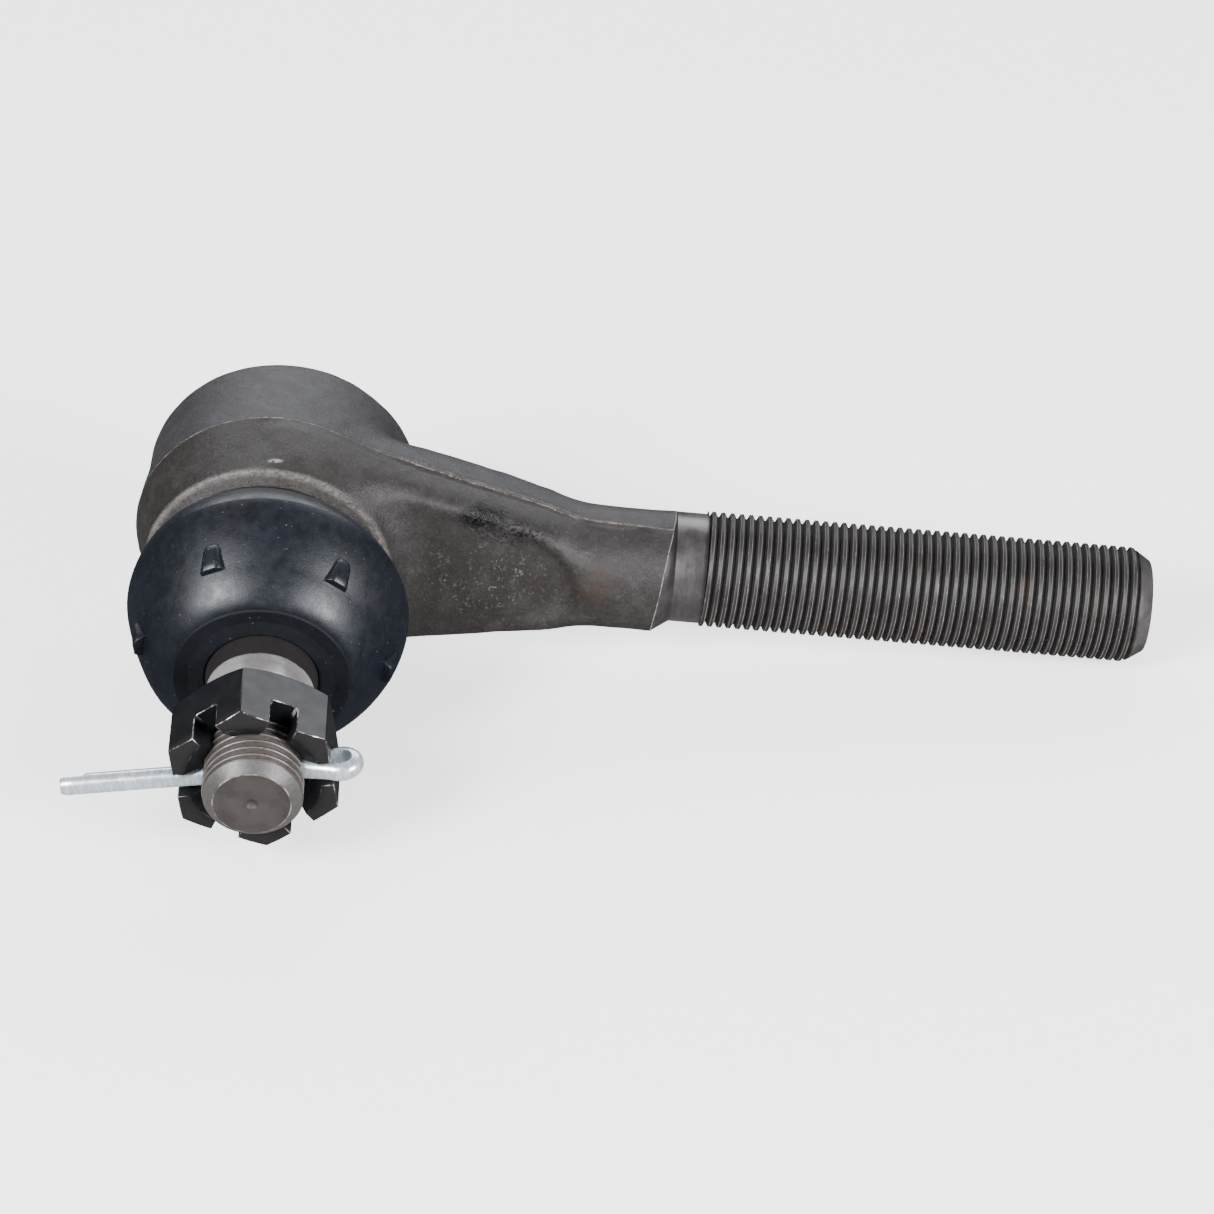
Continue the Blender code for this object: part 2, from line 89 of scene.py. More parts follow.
# Arm: its half height and its reach to the back and to the front at stations along the shank
ARM_X = np.array([0.0, 14.0, 20.6, 28.5, 35.0, 42.0, 47.0, 52.0, 62.0])
ARM_HEIGHT = np.array([17.9, 16.0, 14.5, 12.75, 11.35, 9.75, 8.9, 8.6, 8.6])
ARM_BACK = np.array([8.6, 8.6, 8.5, 8.3, 8.0, 7.4, 7.3, 7.6, 7.6])
ARM_FRONT = np.array([7.6, 7.7, 7.8, 8.0, 8.3, 8.8, 9.2, 9.4, 9.4])
SCOOP_Y = 7.3
ROD_R = 9.15
ROD_Y = -0.6
ROD_Z = -0.65

# End cover
COVER_R = 16.45
COVER_HOLE_R = 3.5
COVER_Y = (15.6, 17.3)

# Shank
CONE_SLOPE = 0.68  # how steeply the turned cone at the shoulder widens
SHOULDER_X = 60.2
THREAD_X = 64.9
SHANK_END_X = 132.1
TIP_CHAMFER = 3.0
TIP_R = 6.9
NECK_R = 8.28
THREAD_R = 8.72
PITCH = 25.4 / 18

# Ball stud
BALL_R = 12.7
STUD_NECK_R = 6.9
TAPER = ((26.0, 8.75), (41.5, 7.5))
STUD_THREAD_R = 7.14
STUD_THREAD = (42.2, 60.3)
STUD_LENGTH = 60.3
STUD_TIP_R = 5.45
PIN_HOLE_R = 1.95

# Castle nut
NUT_FLATS = 22.2
NUT_HEIGHT = 11.0
NUT_CROWN = 55.4
SLOT_WIDTH = 4.0
SLOT_DEPTH = 4.8
SLOT_TURN = 10.5

# Split pin
PIN_R = 1.45
PIN_AT = 53.3
LONG_LEG = 27.4
SHORT_LEG = 24.1
EYE_X = 12.35
EYE_R = 1.7

# Boot
BOOT_R = 20.6
BOOT_BULGE_AT = 20.8
BOOT_LIP_AT = 33.8
BOOT_LIP_R = 12.9
BOOT_SHIFT = (0.65, 0.45)
NIB_AT = 28.2
NIB_TURN = 116.4


# ---------------------------------------------------------------- small helpers


def smooth(t):
    """Eases from 0 to 1."""
    t = np.clip(t, 0.0, 1.0)
    return t * t * (3 - 2 * t)


def rounded(corners, steps=5):
    """Path through (a, b, radius) corners, each rounded by an arc of its radius."""
    points = []
    last = len(corners) - 1
    for i, (a, b, radius) in enumerate(corners):
        here = Vector((a, b))
        if radius <= 0 or i in (0, last):
            points.append((a, b))
            continue
        back = (Vector(corners[i - 1][:2]) - here).normalized()
        ahead = (Vector(corners[i + 1][:2]) - here).normalized()
        half = back.angle(ahead) / 2
        if half > math.radians(88):
            points.append((a, b))
            continue
        reach = radius / math.tan(half)
        centre = here + (back + ahead).normalized() * (radius / math.sin(half))
        first = here + back * reach - centre
        final = here + ahead * reach - centre
        sweep = first.angle_signed(final)
        start = math.atan2(first.y, first.x)
        for k in range(steps + 1):
            t = start - sweep * k / steps
            points.append((centre.x + radius * math.cos(t), centre.y + radius * math.sin(t)))
    return points


def new_object(name, verts, faces, frame, looks, smooth_angle=None):
    """Mesh object from millimetre points in a frame, with a list of materials."""
    mesh = bpy.data.meshes.new(name)
    mesh.from_pydata([tuple(p) for p in np.asarray(verts) * MM], [], [tuple(f) for f in faces])
    mesh.validate()
    mesh.transform(frame)
    mesh.shade_smooth()
    if smooth_angle is not None:
        mesh.set_sharp_from_angle(angle=math.radians(smooth_angle))
    for look in looks:
        mesh.materials.append(look)
    obj = bpy.data.objects.new(name, mesh)
    bpy.context.scene.collection.objects.link(obj)
    return obj


def face_outward(obj):
    """Turns every face of a closed mesh outward."""
    bm = bmesh.new()
    bm.from_mesh(obj.data)
    bmesh.ops.recalc_face_normals(bm, faces=bm.faces)
    bm.to_mesh(obj.data)
    bm.free()


def store(obj, name, values):
    """Keeps a number for each vertex, for the materials to read."""
    attribute = obj.data.attributes.new(name, "FLOAT", "POINT")
    attribute.data.foreach_set("value", np.asarray(values, np.float32))


def merge(verts, faces, extra, distance=1e-4):
    """Joins vertices that coincide, drops collapsed faces and carries extra numbers along."""
    keys = np.round(np.asarray(verts) / distance).astype(np.int64)
    _, first, back = np.unique(keys, axis=0, return_index=True, return_inverse=True)
    back = back.reshape(-1)
    kept = []
    for face in faces:
        ring = []
        for v in face:
            m = int(back[v])
            if not ring or ring[-1] != m:
                ring.append(m)
        if len(ring) > 1 and ring[0] == ring[-1]:
            ring.pop()
        if len(set(ring)) == len(ring) and len(ring) > 2:
            kept.append(ring)
    return np.asarray(verts)[first], kept, [np.asarray(e)[first] for e in extra]


def grid_faces(rows, columns, wrap=True, offset=0):
    """Quads of a grid of rows by columns, closed round its columns."""
    faces = []
    for i in range(rows - 1):
        for j in range(columns if wrap else columns - 1):
            k = (j + 1) % columns
            a, b = offset + i * columns, offset + (i + 1) * columns
            faces.append((a + j, a + k, b + k, b + j))
    return faces


def lathe(profile, columns, about="Y"):
    """Vertices and faces of a profile of (radius, distance) turned about Y or X."""
    turns = 2 * np.pi * np.arange(columns) / columns
    verts = []
    for r, d in profile:
        c, s = r * np.cos(turns), r * np.sin(turns)
        flat = np.full(columns, d)
        verts.append(np.stack([c, flat, s] if about == "Y" else [flat, c, s], -1))
    faces = grid_faces(len(profile), columns)
    if about == "Y":
        faces = [f[::-1] for f in faces]
    return np.concatenate(verts), faces


def with_caps(verts, faces, columns):
    """Closes both ends of a lathe or a sweep with a fan about the middle of its ring."""
    verts = list(verts)
    count = len(verts)
    low, high = np.mean(verts[:columns], 0), np.mean(verts[-columns:], 0)
    verts += [low, high]
    first = faces[0]
    turn = first.index(0) < first.index(1) if 0 in first and 1 in first else True
    for j in range(columns):
        k = (j + 1) % columns
        a, b = (k, j) if turn else (j, k)
        faces.append((count, a, b))
        top = count - columns
        a, b = (top + j, top + k) if turn else (top + k, top + j)
        faces.append((count + 1, a, b))
    return np.array(verts), faces


# ---------------------------------------------------------------- materials


class Shader:
    """Builds a node material with little writing, working in millimetres of a frame."""

    def __init__(self, name, frame):
        self.material = bpy.data.materials.new(name)
        self.material.use_nodes = True
        self.tree = self.material.node_tree
        self.bsdf = self.tree.nodes["Principled BSDF"]
        self.colour = None
        coordinates = self.tree.nodes.new("ShaderNodeTexCoord")
        laid = self.tree.nodes.new("ShaderNodeMapping")
        laid.vector_type = "TEXTURE"
        laid.inputs["Location"].default_value = frame.translation
        laid.inputs["Rotation"].default_value = frame.to_euler()
        laid.inputs["Scale"].default_value = (MM, MM, MM)
        self.link(coordinates.outputs["Object"], laid.inputs["Vector"])
        self.place = laid.outputs["Vector"]
        split = self.tree.nodes.new("ShaderNodeSeparateXYZ")
        self.link(self.place, split.inputs[0])
        self.x, self.y, self.z = split.outputs

    def link(self, source, target):
        if hasattr(source, "is_output"):
            self.tree.links.new(source, target)
        else:
            target.default_value = source

    def set(self, **values):
        for name, value in values.items():
            self.link(value, self.bsdf.inputs[name.replace("_", " ")])
        return self

    def stretched(self, x, y, z):
        """The place scaled by different amounts along X, Y and Z."""
        node = self.tree.nodes.new("ShaderNodeMapping")
        self.link(self.place, node.inputs["Vector"])
        node.inputs["Scale"].default_value = (x, y, z)
        return node.outputs["Vector"]

    def noise(self, per_mm, detail=4.0, roughness=0.55, distortion=0.0, place=None):
        node = self.tree.nodes.new("ShaderNodeTexNoise")
        self.link(place or self.place, node.inputs["Vector"])
        node.inputs["Scale"].default_value = per_mm
        node.inputs["Detail"].default_value = detail
        node.inputs["Roughness"].default_value = roughness
        node.inputs["Distortion"].default_value = distortion
        return node.outputs["Fac"]

    def cells(self, per_mm):
        node = self.tree.nodes.new("ShaderNodeTexVoronoi")
        self.link(self.place, node.inputs["Vector"])
        node.inputs["Scale"].default_value = per_mm
        return node.outputs["Distance"]

    def ramp(self, value, low, high, start=0.0, end=1.0):
        node = self.tree.nodes.new("ShaderNodeMapRange")
        node.interpolation_type = "SMOOTHSTEP"
        self.link(value, node.inputs["Value"])
        for name, number in (("From Min", low), ("From Max", high), ("To Min", start), ("To Max", end)):
            node.inputs[name].default_value = number
        return node.outputs["Result"]

    def sum(self, a, b, operation="ADD"):
        node = self.tree.nodes.new("ShaderNodeMath")
        node.operation = operation
        self.link(a, node.inputs[0])
        self.link(b, node.inputs[1])
        return node.outputs[0]

    def less(self, a, b):
        return self.sum(a, b, "SUBTRACT")

    def times(self, a, b):
        return self.sum(a, b, "MULTIPLY")

    def length(self, a, b):
        squares = self.sum(self.times(a, a), self.times(b, b))
        return self.sum(squares, 0.5, "POWER")

    def size(self, a):
        return self.sum(a, 0.0, "ABSOLUTE")

    def mix(self, share, a, b):
        node = self.tree.nodes.new("ShaderNodeMix")
        node.data_type = "RGBA"
        self.link(share, node.inputs["Factor"])
        for value, socket in ((a, node.inputs[6]), (b, node.inputs[7])):
            self.link((*value, 1.0) if isinstance(value, tuple) else value, socket)
        return node.outputs[2]

    def lay(self, share, tone):
        """Lays a tone over the colour so far."""
        self.colour = self.mix(share, self.colour, tone)

    def attribute(self, name):
        node = self.tree.nodes.new("ShaderNodeAttribute")
        node.attribute_name = name
        return node.outputs["Fac"]

    def spot(self, centre, size, squash=(1.0, 1.0, 1.0)):
        """1 in a soft spot round a point, and 0 further than its size away."""
        away = self.tree.nodes.new("ShaderNodeVectorMath")
        away.operation = "SUBTRACT"
        self.link(self.place, away.inputs[0])
        away.inputs[1].default_value = centre
        scaled = self.tree.nodes.new("ShaderNodeVectorMath")
        scaled.operation = "MULTIPLY"
        self.link(away.outputs[0], scaled.inputs[0])
        scaled.inputs[1].default_value = squash
        length = self.tree.nodes.new("ShaderNodeVectorMath")
        length.operation = "LENGTH"
        self.link(scaled.outputs[0], length.inputs[0])
        return self.ramp(length.outputs["Value"], 0.3 * size, size, 1.0, 0.0)

    def bump(self, height, depth_mm, strength):
        node = self.tree.nodes.new("ShaderNodeBump")
        node.inputs["Strength"].default_value = strength
        node.inputs["Distance"].default_value = depth_mm * MM
        self.link(height, node.inputs["Height"])
        return node.outputs["Normal"]


def forged_look(frame):
    """Forging scale: matt brown-grey, finely speckled, brighter where edges have been rubbed; painted sheen
    on the rear half and painted highlights in the arm's fillets.
    """
    s = Shader("forged_steel_look", frame)
    broad = s.noise(0.05, 3.0)
    patch = s.noise(0.35, 5.0, 0.6)
    grain = s.noise(2.2, 4.0, 0.7)
    fine = s.noise(5.5, 3.0, 0.6)
    s.colour = s.mix(s.ramp(broad, 0.35, 0.65), (0.0190, 0.0155, 0.0141), (0.0225, 0.0193, 0.0184))
    # Painted sheen: the rear half gets a lighter bluish tone, as if lit from the back. rear also limits the
    # drag streaks.
    rear = s.ramp(s.y, -0.6, 0.8)
    s.lay(s.times(rear, 0.75), (0.030, 0.0295, 0.033))
    s.lay(s.times(s.ramp(patch, 0.45, 0.7), 0.4), (0.040, 0.035, 0.033))
    s.lay(s.times(s.ramp(grain, 0.52, 0.74), 0.42), (0.085, 0.076, 0.070))
    s.lay(s.times(s.ramp(grain, 0.47, 0.28), 0.6), (0.009, 0.008, 0.008))
    drag = s.noise(1.5, 3.0, 0.7, place=s.stretched(0.10, 1.0, 1.0))
    s.lay(s.times(s.times(rear, s.ramp(drag, 0.56, 0.66)), 0.30), (0.060, 0.059, 0.064))
    # Painted highlight: the arm's concave fillets are laid lighter and made glossier.
    fillet_highlight = s.times(s.attribute("fillet_highlight"), s.ramp(patch, 0.30, 0.60, 0.45, 1.0))
    s.lay(s.times(fillet_highlight, 0.8), (0.058, 0.053, 0.052))
    wear = s.attribute("wear")
    broken = s.ramp(s.sum(s.noise(1.3, 3.0, 0.7), s.times(grain, 0.35)), 0.50, 0.78)
    rubbed = s.times(wear, broken)
    s.lay(rubbed, (0.20, 0.175, 0.155))
    from_axis = s.length(s.x, s.z)
    rim = s.times(s.ramp(s.size(s.less(from_axis, RIM_R - 0.30)), 0.75, 0.05), s.ramp(s.y, -9.9, -10.6))
    rim = s.times(rim, s.ramp(s.noise(1.1, 4.0, 0.8), 0.36, 0.62, 0.25, 1.0))
    s.lay(s.times(rim, 0.85), (0.150, 0.134, 0.122))
    shoulder_r = s.sum(NECK_R + SHOULDER_X * CONE_SLOPE, s.times(s.x, -CONE_SLOPE))
    turned = s.ramp(s.size(s.less(s.length(s.y, s.z), shoulder_r)), 0.13, 0.03)
    turned = s.times(turned, s.ramp(s.noise(0.9, 4.0, 0.75), 0.38, 0.52, 0.15, 1.0))
    s.lay(s.times(turned, 0.9), (0.24, 0.21, 0.185))
    seam = s.less(s.y, PARTING_Y)
    for start, length, rise in FLASH_STEPS:
        seam = s.less(seam, s.ramp(s.x, start, start + length, 0.0, rise))
    seam = s.size(seam)
    seam = s.sum(seam, s.times(s.less(s.noise(0.9, 3.0), 0.5), 0.30))
    single = s.ramp(seam, 0.25, 0.06)
    double = s.ramp(s.size(s.less(seam, 0.40)), 0.20, 0.03)
    paired = s.times(s.ramp(s.x, 13.0, 17.0), s.ramp(s.x, 47.0, 43.0))
    line = s.sum(s.times(double, paired), s.times(single, s.less(1.0, paired)))
    line = s.times(line, s.ramp(s.noise(1.3, 4.0, 0.8), 0.44, 0.56, 0.15, 1.0))
    line = s.times(line, s.ramp(s.x, 61.0, 52.0, 0.45, 1.0))
    s.lay(s.times(line, 0.9), (0.205, 0.175, 0.152))
    land = s.times(s.ramp(seam, 0.9, 0.5), s.ramp(s.noise(0.7, 4.0, 0.7), 0.50, 0.62))
    s.lay(s.times(land, 0.30), (0.040, 0.029, 0.022))
    under = s.times(s.ramp(s.y, -10.9, -11.5), s.ramp(s.noise(1.4, 4.0, 0.8), 0.42, 0.60))
    s.lay(s.times(under, 0.6), (0.050, 0.039, 0.031))
    rust = s.times(s.spot((48.6, -8.5, 1.6), 4.2), s.ramp(s.noise(0.9, 4.0, 0.75), 0.38, 0.56))
    s.lay(s.times(rust, 0.85), (0.026, 0.0145, 0.0085))
    drops = s.noise(1.9, 4.0, 0.8, 0.8)
    tar = s.times(s.spot((30.8, -7.0, 10.4), 3.9, (0.75, 0.7, 1.5)), s.ramp(drops, 0.43, 0.49))
    trail = s.times(s.spot((35.5, -7.0, 8.3), 6.4, (0.75, 0.7, 2.2)), s.ramp(drops, 0.52, 0.56))
    tar = s.sum(tar, trail, "MAXIMUM")
    s.lay(tar, (0.004, 0.004, 0.0045))
    fibres = s.noise(1.1, 4.0, 0.8, 1.4)
    scuffs = s.times(s.spot((32.0, -7.6, -0.6), 11.5, (0.8, 1.0, 1.2)), s.ramp(fibres, 0.60, 0.635))
    s.lay(s.times(scuffs, 0.6), (0.20, 0.185, 0.17))
    nick = s.times(s.spot((0.2, -9.3, 18.8), 0.9, (0.6, 1.7, 1.0)), s.ramp(s.noise(1.8, 3.0), 0.36, 0.5))
    s.lay(nick, (0.30, 0.28, 0.26))
    rough = s.ramp(patch, 0.3, 0.7, 0.42, 0.54)
    rough = s.sum(rough, s.times(s.sum(rubbed, fillet_highlight, "MAXIMUM"), -0.13))
    rough = s.sum(rough, s.times(tar, -0.24))
    height = s.sum(s.times(grain, 0.75), s.times(fine, 0.25))
    height = s.sum(height, s.times(patch, 0.9))
    height = s.sum(height, s.times(line, 0.5))
    height = s.sum(height, s.times(tar, 0.6))
    normal = s.bump(height, 0.15, 0.95)
    return s.set(Base_Color=s.colour, Roughness=rough, Metallic=0.12, Normal=normal).material


def turned_look(name, frame, base, bright, rough, axis, metallic):
    """Turned steel: fine rings round the part, with soft stains and small nicks."""
    s = Shader(name, frame)
    along = tuple(1.0 if k == axis else 0.06 for k in "xyz")
    rings = s.noise(3.4, 3.0, 0.6, place=s.stretched(*along))
    stain = s.noise(0.22, 4.0, 0.6)
    speck = s.noise(2.6, 4.0, 0.7)
    s.colour = s.mix(s.ramp(stain, 0.35, 0.68), base, bright)
    s.lay(s.times(s.ramp(rings, 0.4, 0.7), 0.30), tuple(0.6 * c for c in base))
    s.lay(s.times(s.ramp(speck, 0.60, 0.72), 0.35), tuple(1.8 * c for c in bright))
    roughness = s.ramp(stain, 0.3, 0.7, rough - 0.05, rough + 0.07)
    normal = s.bump(s.sum(rings, s.times(speck, 0.35)), 0.02, 0.6)
    s.set(Base_Color=s.colour, Roughness=roughness, Metallic=metallic, Normal=normal)
    return s


def cone_look(frame):
    """The cone turned at the shank's shoulder: darker towards the top, lighter below."""
    s = turned_look("turned_cone_look", frame, (0.050, 0.046, 0.045), (0.085, 0.078, 0.076), 0.45, "x", 0.6)
    # Darker towards the top of the cone.
    darker_above = s.ramp(s.sum(s.z, s.times(s.noise(0.4, 3.0), 3.0)), 1.5, 6.0)
    s.lay(s.times(darker_above, 0.85), (0.020, 0.018, 0.0185))
    return s.set(Base_Color=s.colour).material


def stud_steel_look(frame):
    """The stud: dark brown and dull up to about 37 mm from the ball's centre, bright beyond."""
    s = turned_look("stud_steel_look", frame, (0.32, 0.30, 0.295), (0.56, 0.535, 0.53), 0.26, "y", 0.55)
    # Dark brown and rough up to about 37 mm along the stud, bright and smoother beyond.
    bright_part = s.sum(s.y, s.times(s.less(s.noise(0.5, 3.0), 0.5), 0.5))
    bright_part = s.ramp(bright_part, -37.0, -37.35)
    dull = s.mix(s.noise(0.6, 4.0), (0.026, 0.0225, 0.022), (0.040, 0.035, 0.034))
    rough = s.ramp(bright_part, 0.0, 1.0, 0.48, 0.27)
    return s.set(Base_Color=s.mix(bright_part, dull, s.colour), Roughness=rough).material


def stud_end_look(frame):
    """The stud's sawn end: dull, with a bright line where its flat face meets the chamfer."""
    s = turned_look("stud_end_look", frame, (0.050, 0.042, 0.039), (0.070, 0.060, 0.056), 0.45, "y", 0.5)
    away = s.length(s.x, s.z)
    brushed = s.mix(s.noise(1.6, 4.0, 0.75), (0.045, 0.040, 0.038), (0.16, 0.15, 0.145))
    s.lay(s.ramp(away, STUD_TIP_R + 0.1, STUD_TIP_R + 0.3), brushed)
    edge = s.ramp(s.size(s.less(away, STUD_TIP_R + 0.05)), 0.15, 0.04)
    edge = s.times(edge, s.ramp(s.noise(0.5, 4.0, 0.7), 0.42, 0.60, 0.15, 1.0))
    s.lay(s.times(edge, 0.9), (0.34, 0.32, 0.30))
    return s.set(Base_Color=s.colour).material


def thread_look(name, frame, root, crest, rough):
    """Rolled thread: dark oily flanks; crests lighter in places, partly rubbed and partly a painted
    highlight.
    """
    s = Shader(name, frame)
    top = s.attribute("crest")
    patchy = s.noise(0.28, 4.0, 0.65)
    speck = s.noise(1.7, 4.0, 0.7)
    s.colour = s.mix(s.ramp(speck, 0.3, 0.7), root, tuple(1.7 * c for c in root))
    worn = s.ramp(s.sum(patchy, s.times(speck, 0.35)), 0.38, 0.78, 0.35, 1.0)
    # Crest lines laid lighter: partly wear, partly a painted highlight along the two ridges.
    worn = s.times(s.ramp(top, 0.25, 0.95), worn)
    s.lay(worn, crest)
    # Brighter spots on the crest lines, of the same mixed wear and painted highlight.
    bright = s.times(s.ramp(top, 0.3, 0.9), s.ramp(s.noise(0.9, 4.0, 0.75), 0.58, 0.68))
    s.lay(s.times(bright, 0.8), tuple(min(2.4 * c, 0.8) for c in crest))
    rust = s.times(s.ramp(s.noise(0.22, 3.0), 0.60, 0.72), s.ramp(top, 0.7, 0.1))
    s.lay(s.times(rust, 0.5), (0.050, 0.028, 0.018))
    normal = s.bump(s.sum(speck, s.times(s.noise(5.0), 0.5)), 0.03, 0.7)
    roughness = s.ramp(patchy, 0.3, 0.7, rough - 0.04, rough + 0.1)
    return s.set(Base_Color=s.colour, Roughness=roughness, Metallic=0.15, Normal=normal).material


def oxide_look(frame):
    """Black oxide, oiled: nearly black, faintly mottled and scratched, with a soft gloss."""
    s = Shader("black_oxide_look", frame)
    mottled = s.noise(0.4, 5.0, 0.6)
    speck = s.noise(2.5, 4.0, 0.7)
    s.colour = s.mix(s.ramp(mottled, 0.35, 0.7), (0.0045, 0.0048, 0.0060), (0.0066, 0.0070, 0.0088))
    s.lay(s.times(s.ramp(speck, 0.71, 0.77), 0.3), (0.06, 0.06, 0.062))
    drag = s.ramp(s.noise(1.2, 5.0, 0.8, 0.5, place=s.stretched(0.3, 1.0, 0.8)), 0.69, 0.73)
    s.lay(s.times(drag, 0.3), (0.06, 0.06, 0.065))
    faced = s.times(s.ramp(s.y, -54.0, -54.6), s.ramp(s.length(s.x, s.z), 9.0, 10.6))
    s.lay(s.times(faced, 0.8), (0.0155, 0.0135, 0.0135))
    rough = s.ramp(mottled, 0.3, 0.7, 0.29, 0.38)
    normal = s.bump(s.sum(s.times(mottled, 0.6), s.times(speck, 0.4)), 0.018, 0.45)
    s.set(Base_Color=s.colour, Roughness=rough, Metallic=0.0)
    return s.set(Normal=normal, Specular_IOR_Level=0.36).material


def worn_edge_look(frame):
    """Where the nut's oxide has rubbed through along an edge."""
    s = Shader("worn_edge_look", frame)
    rub = s.ramp(s.noise(0.6, 4.0, 0.75), 0.47, 0.60, 0.10, 1.0)
    rub = s.times(rub, s.ramp(s.y, -49.5, -51.0, 0.03, 1.0))
    away = s.length(s.x, s.z)
    rub = s.times(rub, s.times(s.ramp(away, 9.4, 10.2, 0.05, 1.0), s.ramp(away, 12.75, 12.60, 0.05, 1.0)))
    s.colour = s.mix(rub, (0.009, 0.009, 0.011), (0.42, 0.40, 0.39))
    normal = s.bump(s.noise(2.5), 0.03, 0.5)
    return s.set(Base_Color=s.colour, Roughness=0.3, Metallic=0.6, Normal=normal).material


def zinc_look(frame):
    """Bright zinc: bluish, streaked across the wire where it was drawn and cut."""
    s = Shader("zinc_look", frame)
    streak = s.noise(2.2, 3.0, 0.6, place=s.stretched(1.0, 0.25, 0.25))
    haze = s.noise(0.4, 3.0)
    s.colour = s.mix(s.ramp(streak, 0.35, 0.7), (0.50, 0.56, 0.61), (0.78, 0.84, 0.89))
    s.lay(s.times(s.ramp(haze, 0.5, 0.75), 0.35), (0.46, 0.48, 0.43))
    rough = s.ramp(haze, 0.3, 0.7, 0.22, 0.34)
    normal = s.bump(streak, 0.03, 0.6)
    return s.set(Base_Color=s.colour, Roughness=rough, Metallic=0.6, Normal=normal).material


def rubber_look(name, frame, rough_middle, tone):
    """Moulded rubber: blue-black, satin, with dust specks and fine nicks."""
    s = Shader(name, frame)
    cloud = s.noise(0.12, 4.0, 0.6)
    haze = s.noise(0.6, 5.0, 0.65)
    dark, light = (0.0026, 0.0036, 0.0066), (0.0046, 0.0062, 0.0110)
    dark, light = tuple(tone * c for c in dark), tuple(tone * c for c in light)
    s.colour = s.mix(s.ramp(cloud, 0.35, 0.68), dark, light)
    dusty = s.ramp(s.noise(0.2, 2.0), 0.42, 0.6, 0.25, 1.0)
    dust = s.times(s.ramp(s.cells(0.75), 0.10, 0.05), dusty)
    s.lay(s.times(dust, 0.5), (0.15, 0.15, 0.155))
    scratch = s.ramp(s.noise(0.9, 5.0, 0.8, 1.2, place=s.stretched(1.0, 0.4, 1.0)), 0.665, 0.69)
    s.lay(s.times(scratch, 0.30), (0.10, 0.10, 0.11))
    rough = s.sum(s.ramp(haze, 0.3, 0.7, rough_middle - 0.05, rough_middle + 0.08), s.times(dust, 0.2))
    height = s.sum(s.times(haze, 0.45), s.times(s.noise(3.0, 4.0, 0.6), 0.55))
    normal = s.bump(height, 0.05, 0.7)
    return s.set(Base_Color=s.colour, Roughness=rough, Specular_IOR_Level=0.5 * tone, Normal=normal).material


def plastic_look(frame):
    """Moulded acetal bearing seats."""
    s = Shader("bearing_plastic_look", frame)
    cloud = s.noise(0.2, 3.0)
    s.colour = s.mix(cloud, (0.70, 0.67, 0.58), (0.82, 0.80, 0.72))
    rough = s.ramp(cloud, 0.3, 0.7, 0.36, 0.48)
    return s.set(Base_Color=s.colour, Roughness=rough, Normal=s.bump(s.noise(2.0), 0.02, 0.4)).material


# ---------------------------------------------------------------- forging


def polygon_distance(a, b, corners):
    """Signed distance of points (a, b) from a closed outline, negative inside."""
    nearest = np.full(a.shape, np.inf)
    inside = np.zeros(a.shape, bool)
    count = len(corners)
    for i in range(count):
        (a0, b0), (a1, b1) = corners[i], corners[(i + 1) % count]
        da, db = a1 - a0, b1 - b0
        t = np.clip(((a - a0) * da + (b - b0) * db) / (da * da + db * db + 1e-12), 0, 1)
        nearest = np.minimum(nearest, (a - a0 - t * da) ** 2 + (b - b0 - t * db) ** 2)
        crosses = (b0 > b) != (b1 > b)
        if db:
            inside ^= crosses & (a < a0 + da * (b - b0) / db)
    return np.sqrt(nearest) * np.where(inside, -1, 1)


def soft_max(a, b, k):
    """The larger of two distances, rounded over a width k."""
    h = np.clip(k - np.abs(a - b), 0, None)
    return np.maximum(a, b) + h * h / (4 * k)


def soft_min(a, b, k):
    return -soft_max(-a, -b, k)


def socket_section():
    """Outline of the socket's outside, from its axis at the front to its axis at the rear."""
    return rounded(
        [
            (0, COLLAR_Y, 0),
            (COLLAR_R, COLLAR_Y, 0.5),
            (COLLAR_R, -12.3, 0.5),
            (RIM_R, RIM_Y, 0.5),
            (SOCKET_R - 0.15, -0.9, 0.6),
            (SOCKET_R - 0.1, 0.5, 0.6),
            (REAR_R, 14.9, 2.4),
            (REAR_R - 1.8, 17.2, 1.4),
            (REAR_R - 3.8, REAR_Y, 0.8),
            (0, REAR_Y, 0),
        ]
    )


def cavity_section():
    """Outline of what is bored out of the socket."""
    mouth_r = BALL_R * math.sin(math.radians(56))
    mouth_y = -BALL_R * math.cos(math.radians(56))
    return [
        (0, COLLAR_Y - 2.0),
        (COLLAR_R - 1.2, COLLAR_Y - 2.0),
        (COLLAR_R - 1.6, COLLAR_Y + 0.4),
        (mouth_r + 0.7, mouth_y - 0.9),
        (13.3, mouth_y - 0.9),
        (16.2, mouth_y + 2.2),
        (16.2, 15.3),
        (16.8, 15.3),
        (16.8, 17.1),
        (LIP_R, 17.1),
        (LIP_R - 0.3, REAR_Y + 2.0),
        (0, REAR_Y + 2.0),
    ]


def flash_y(x):
    """Where the two dies met: at the ball's centre on the socket, a little forward on the arm."""
    return PARTING_Y + sum(rise * smooth((x - start) / length) for start, length, rise in FLASH_STEPS)


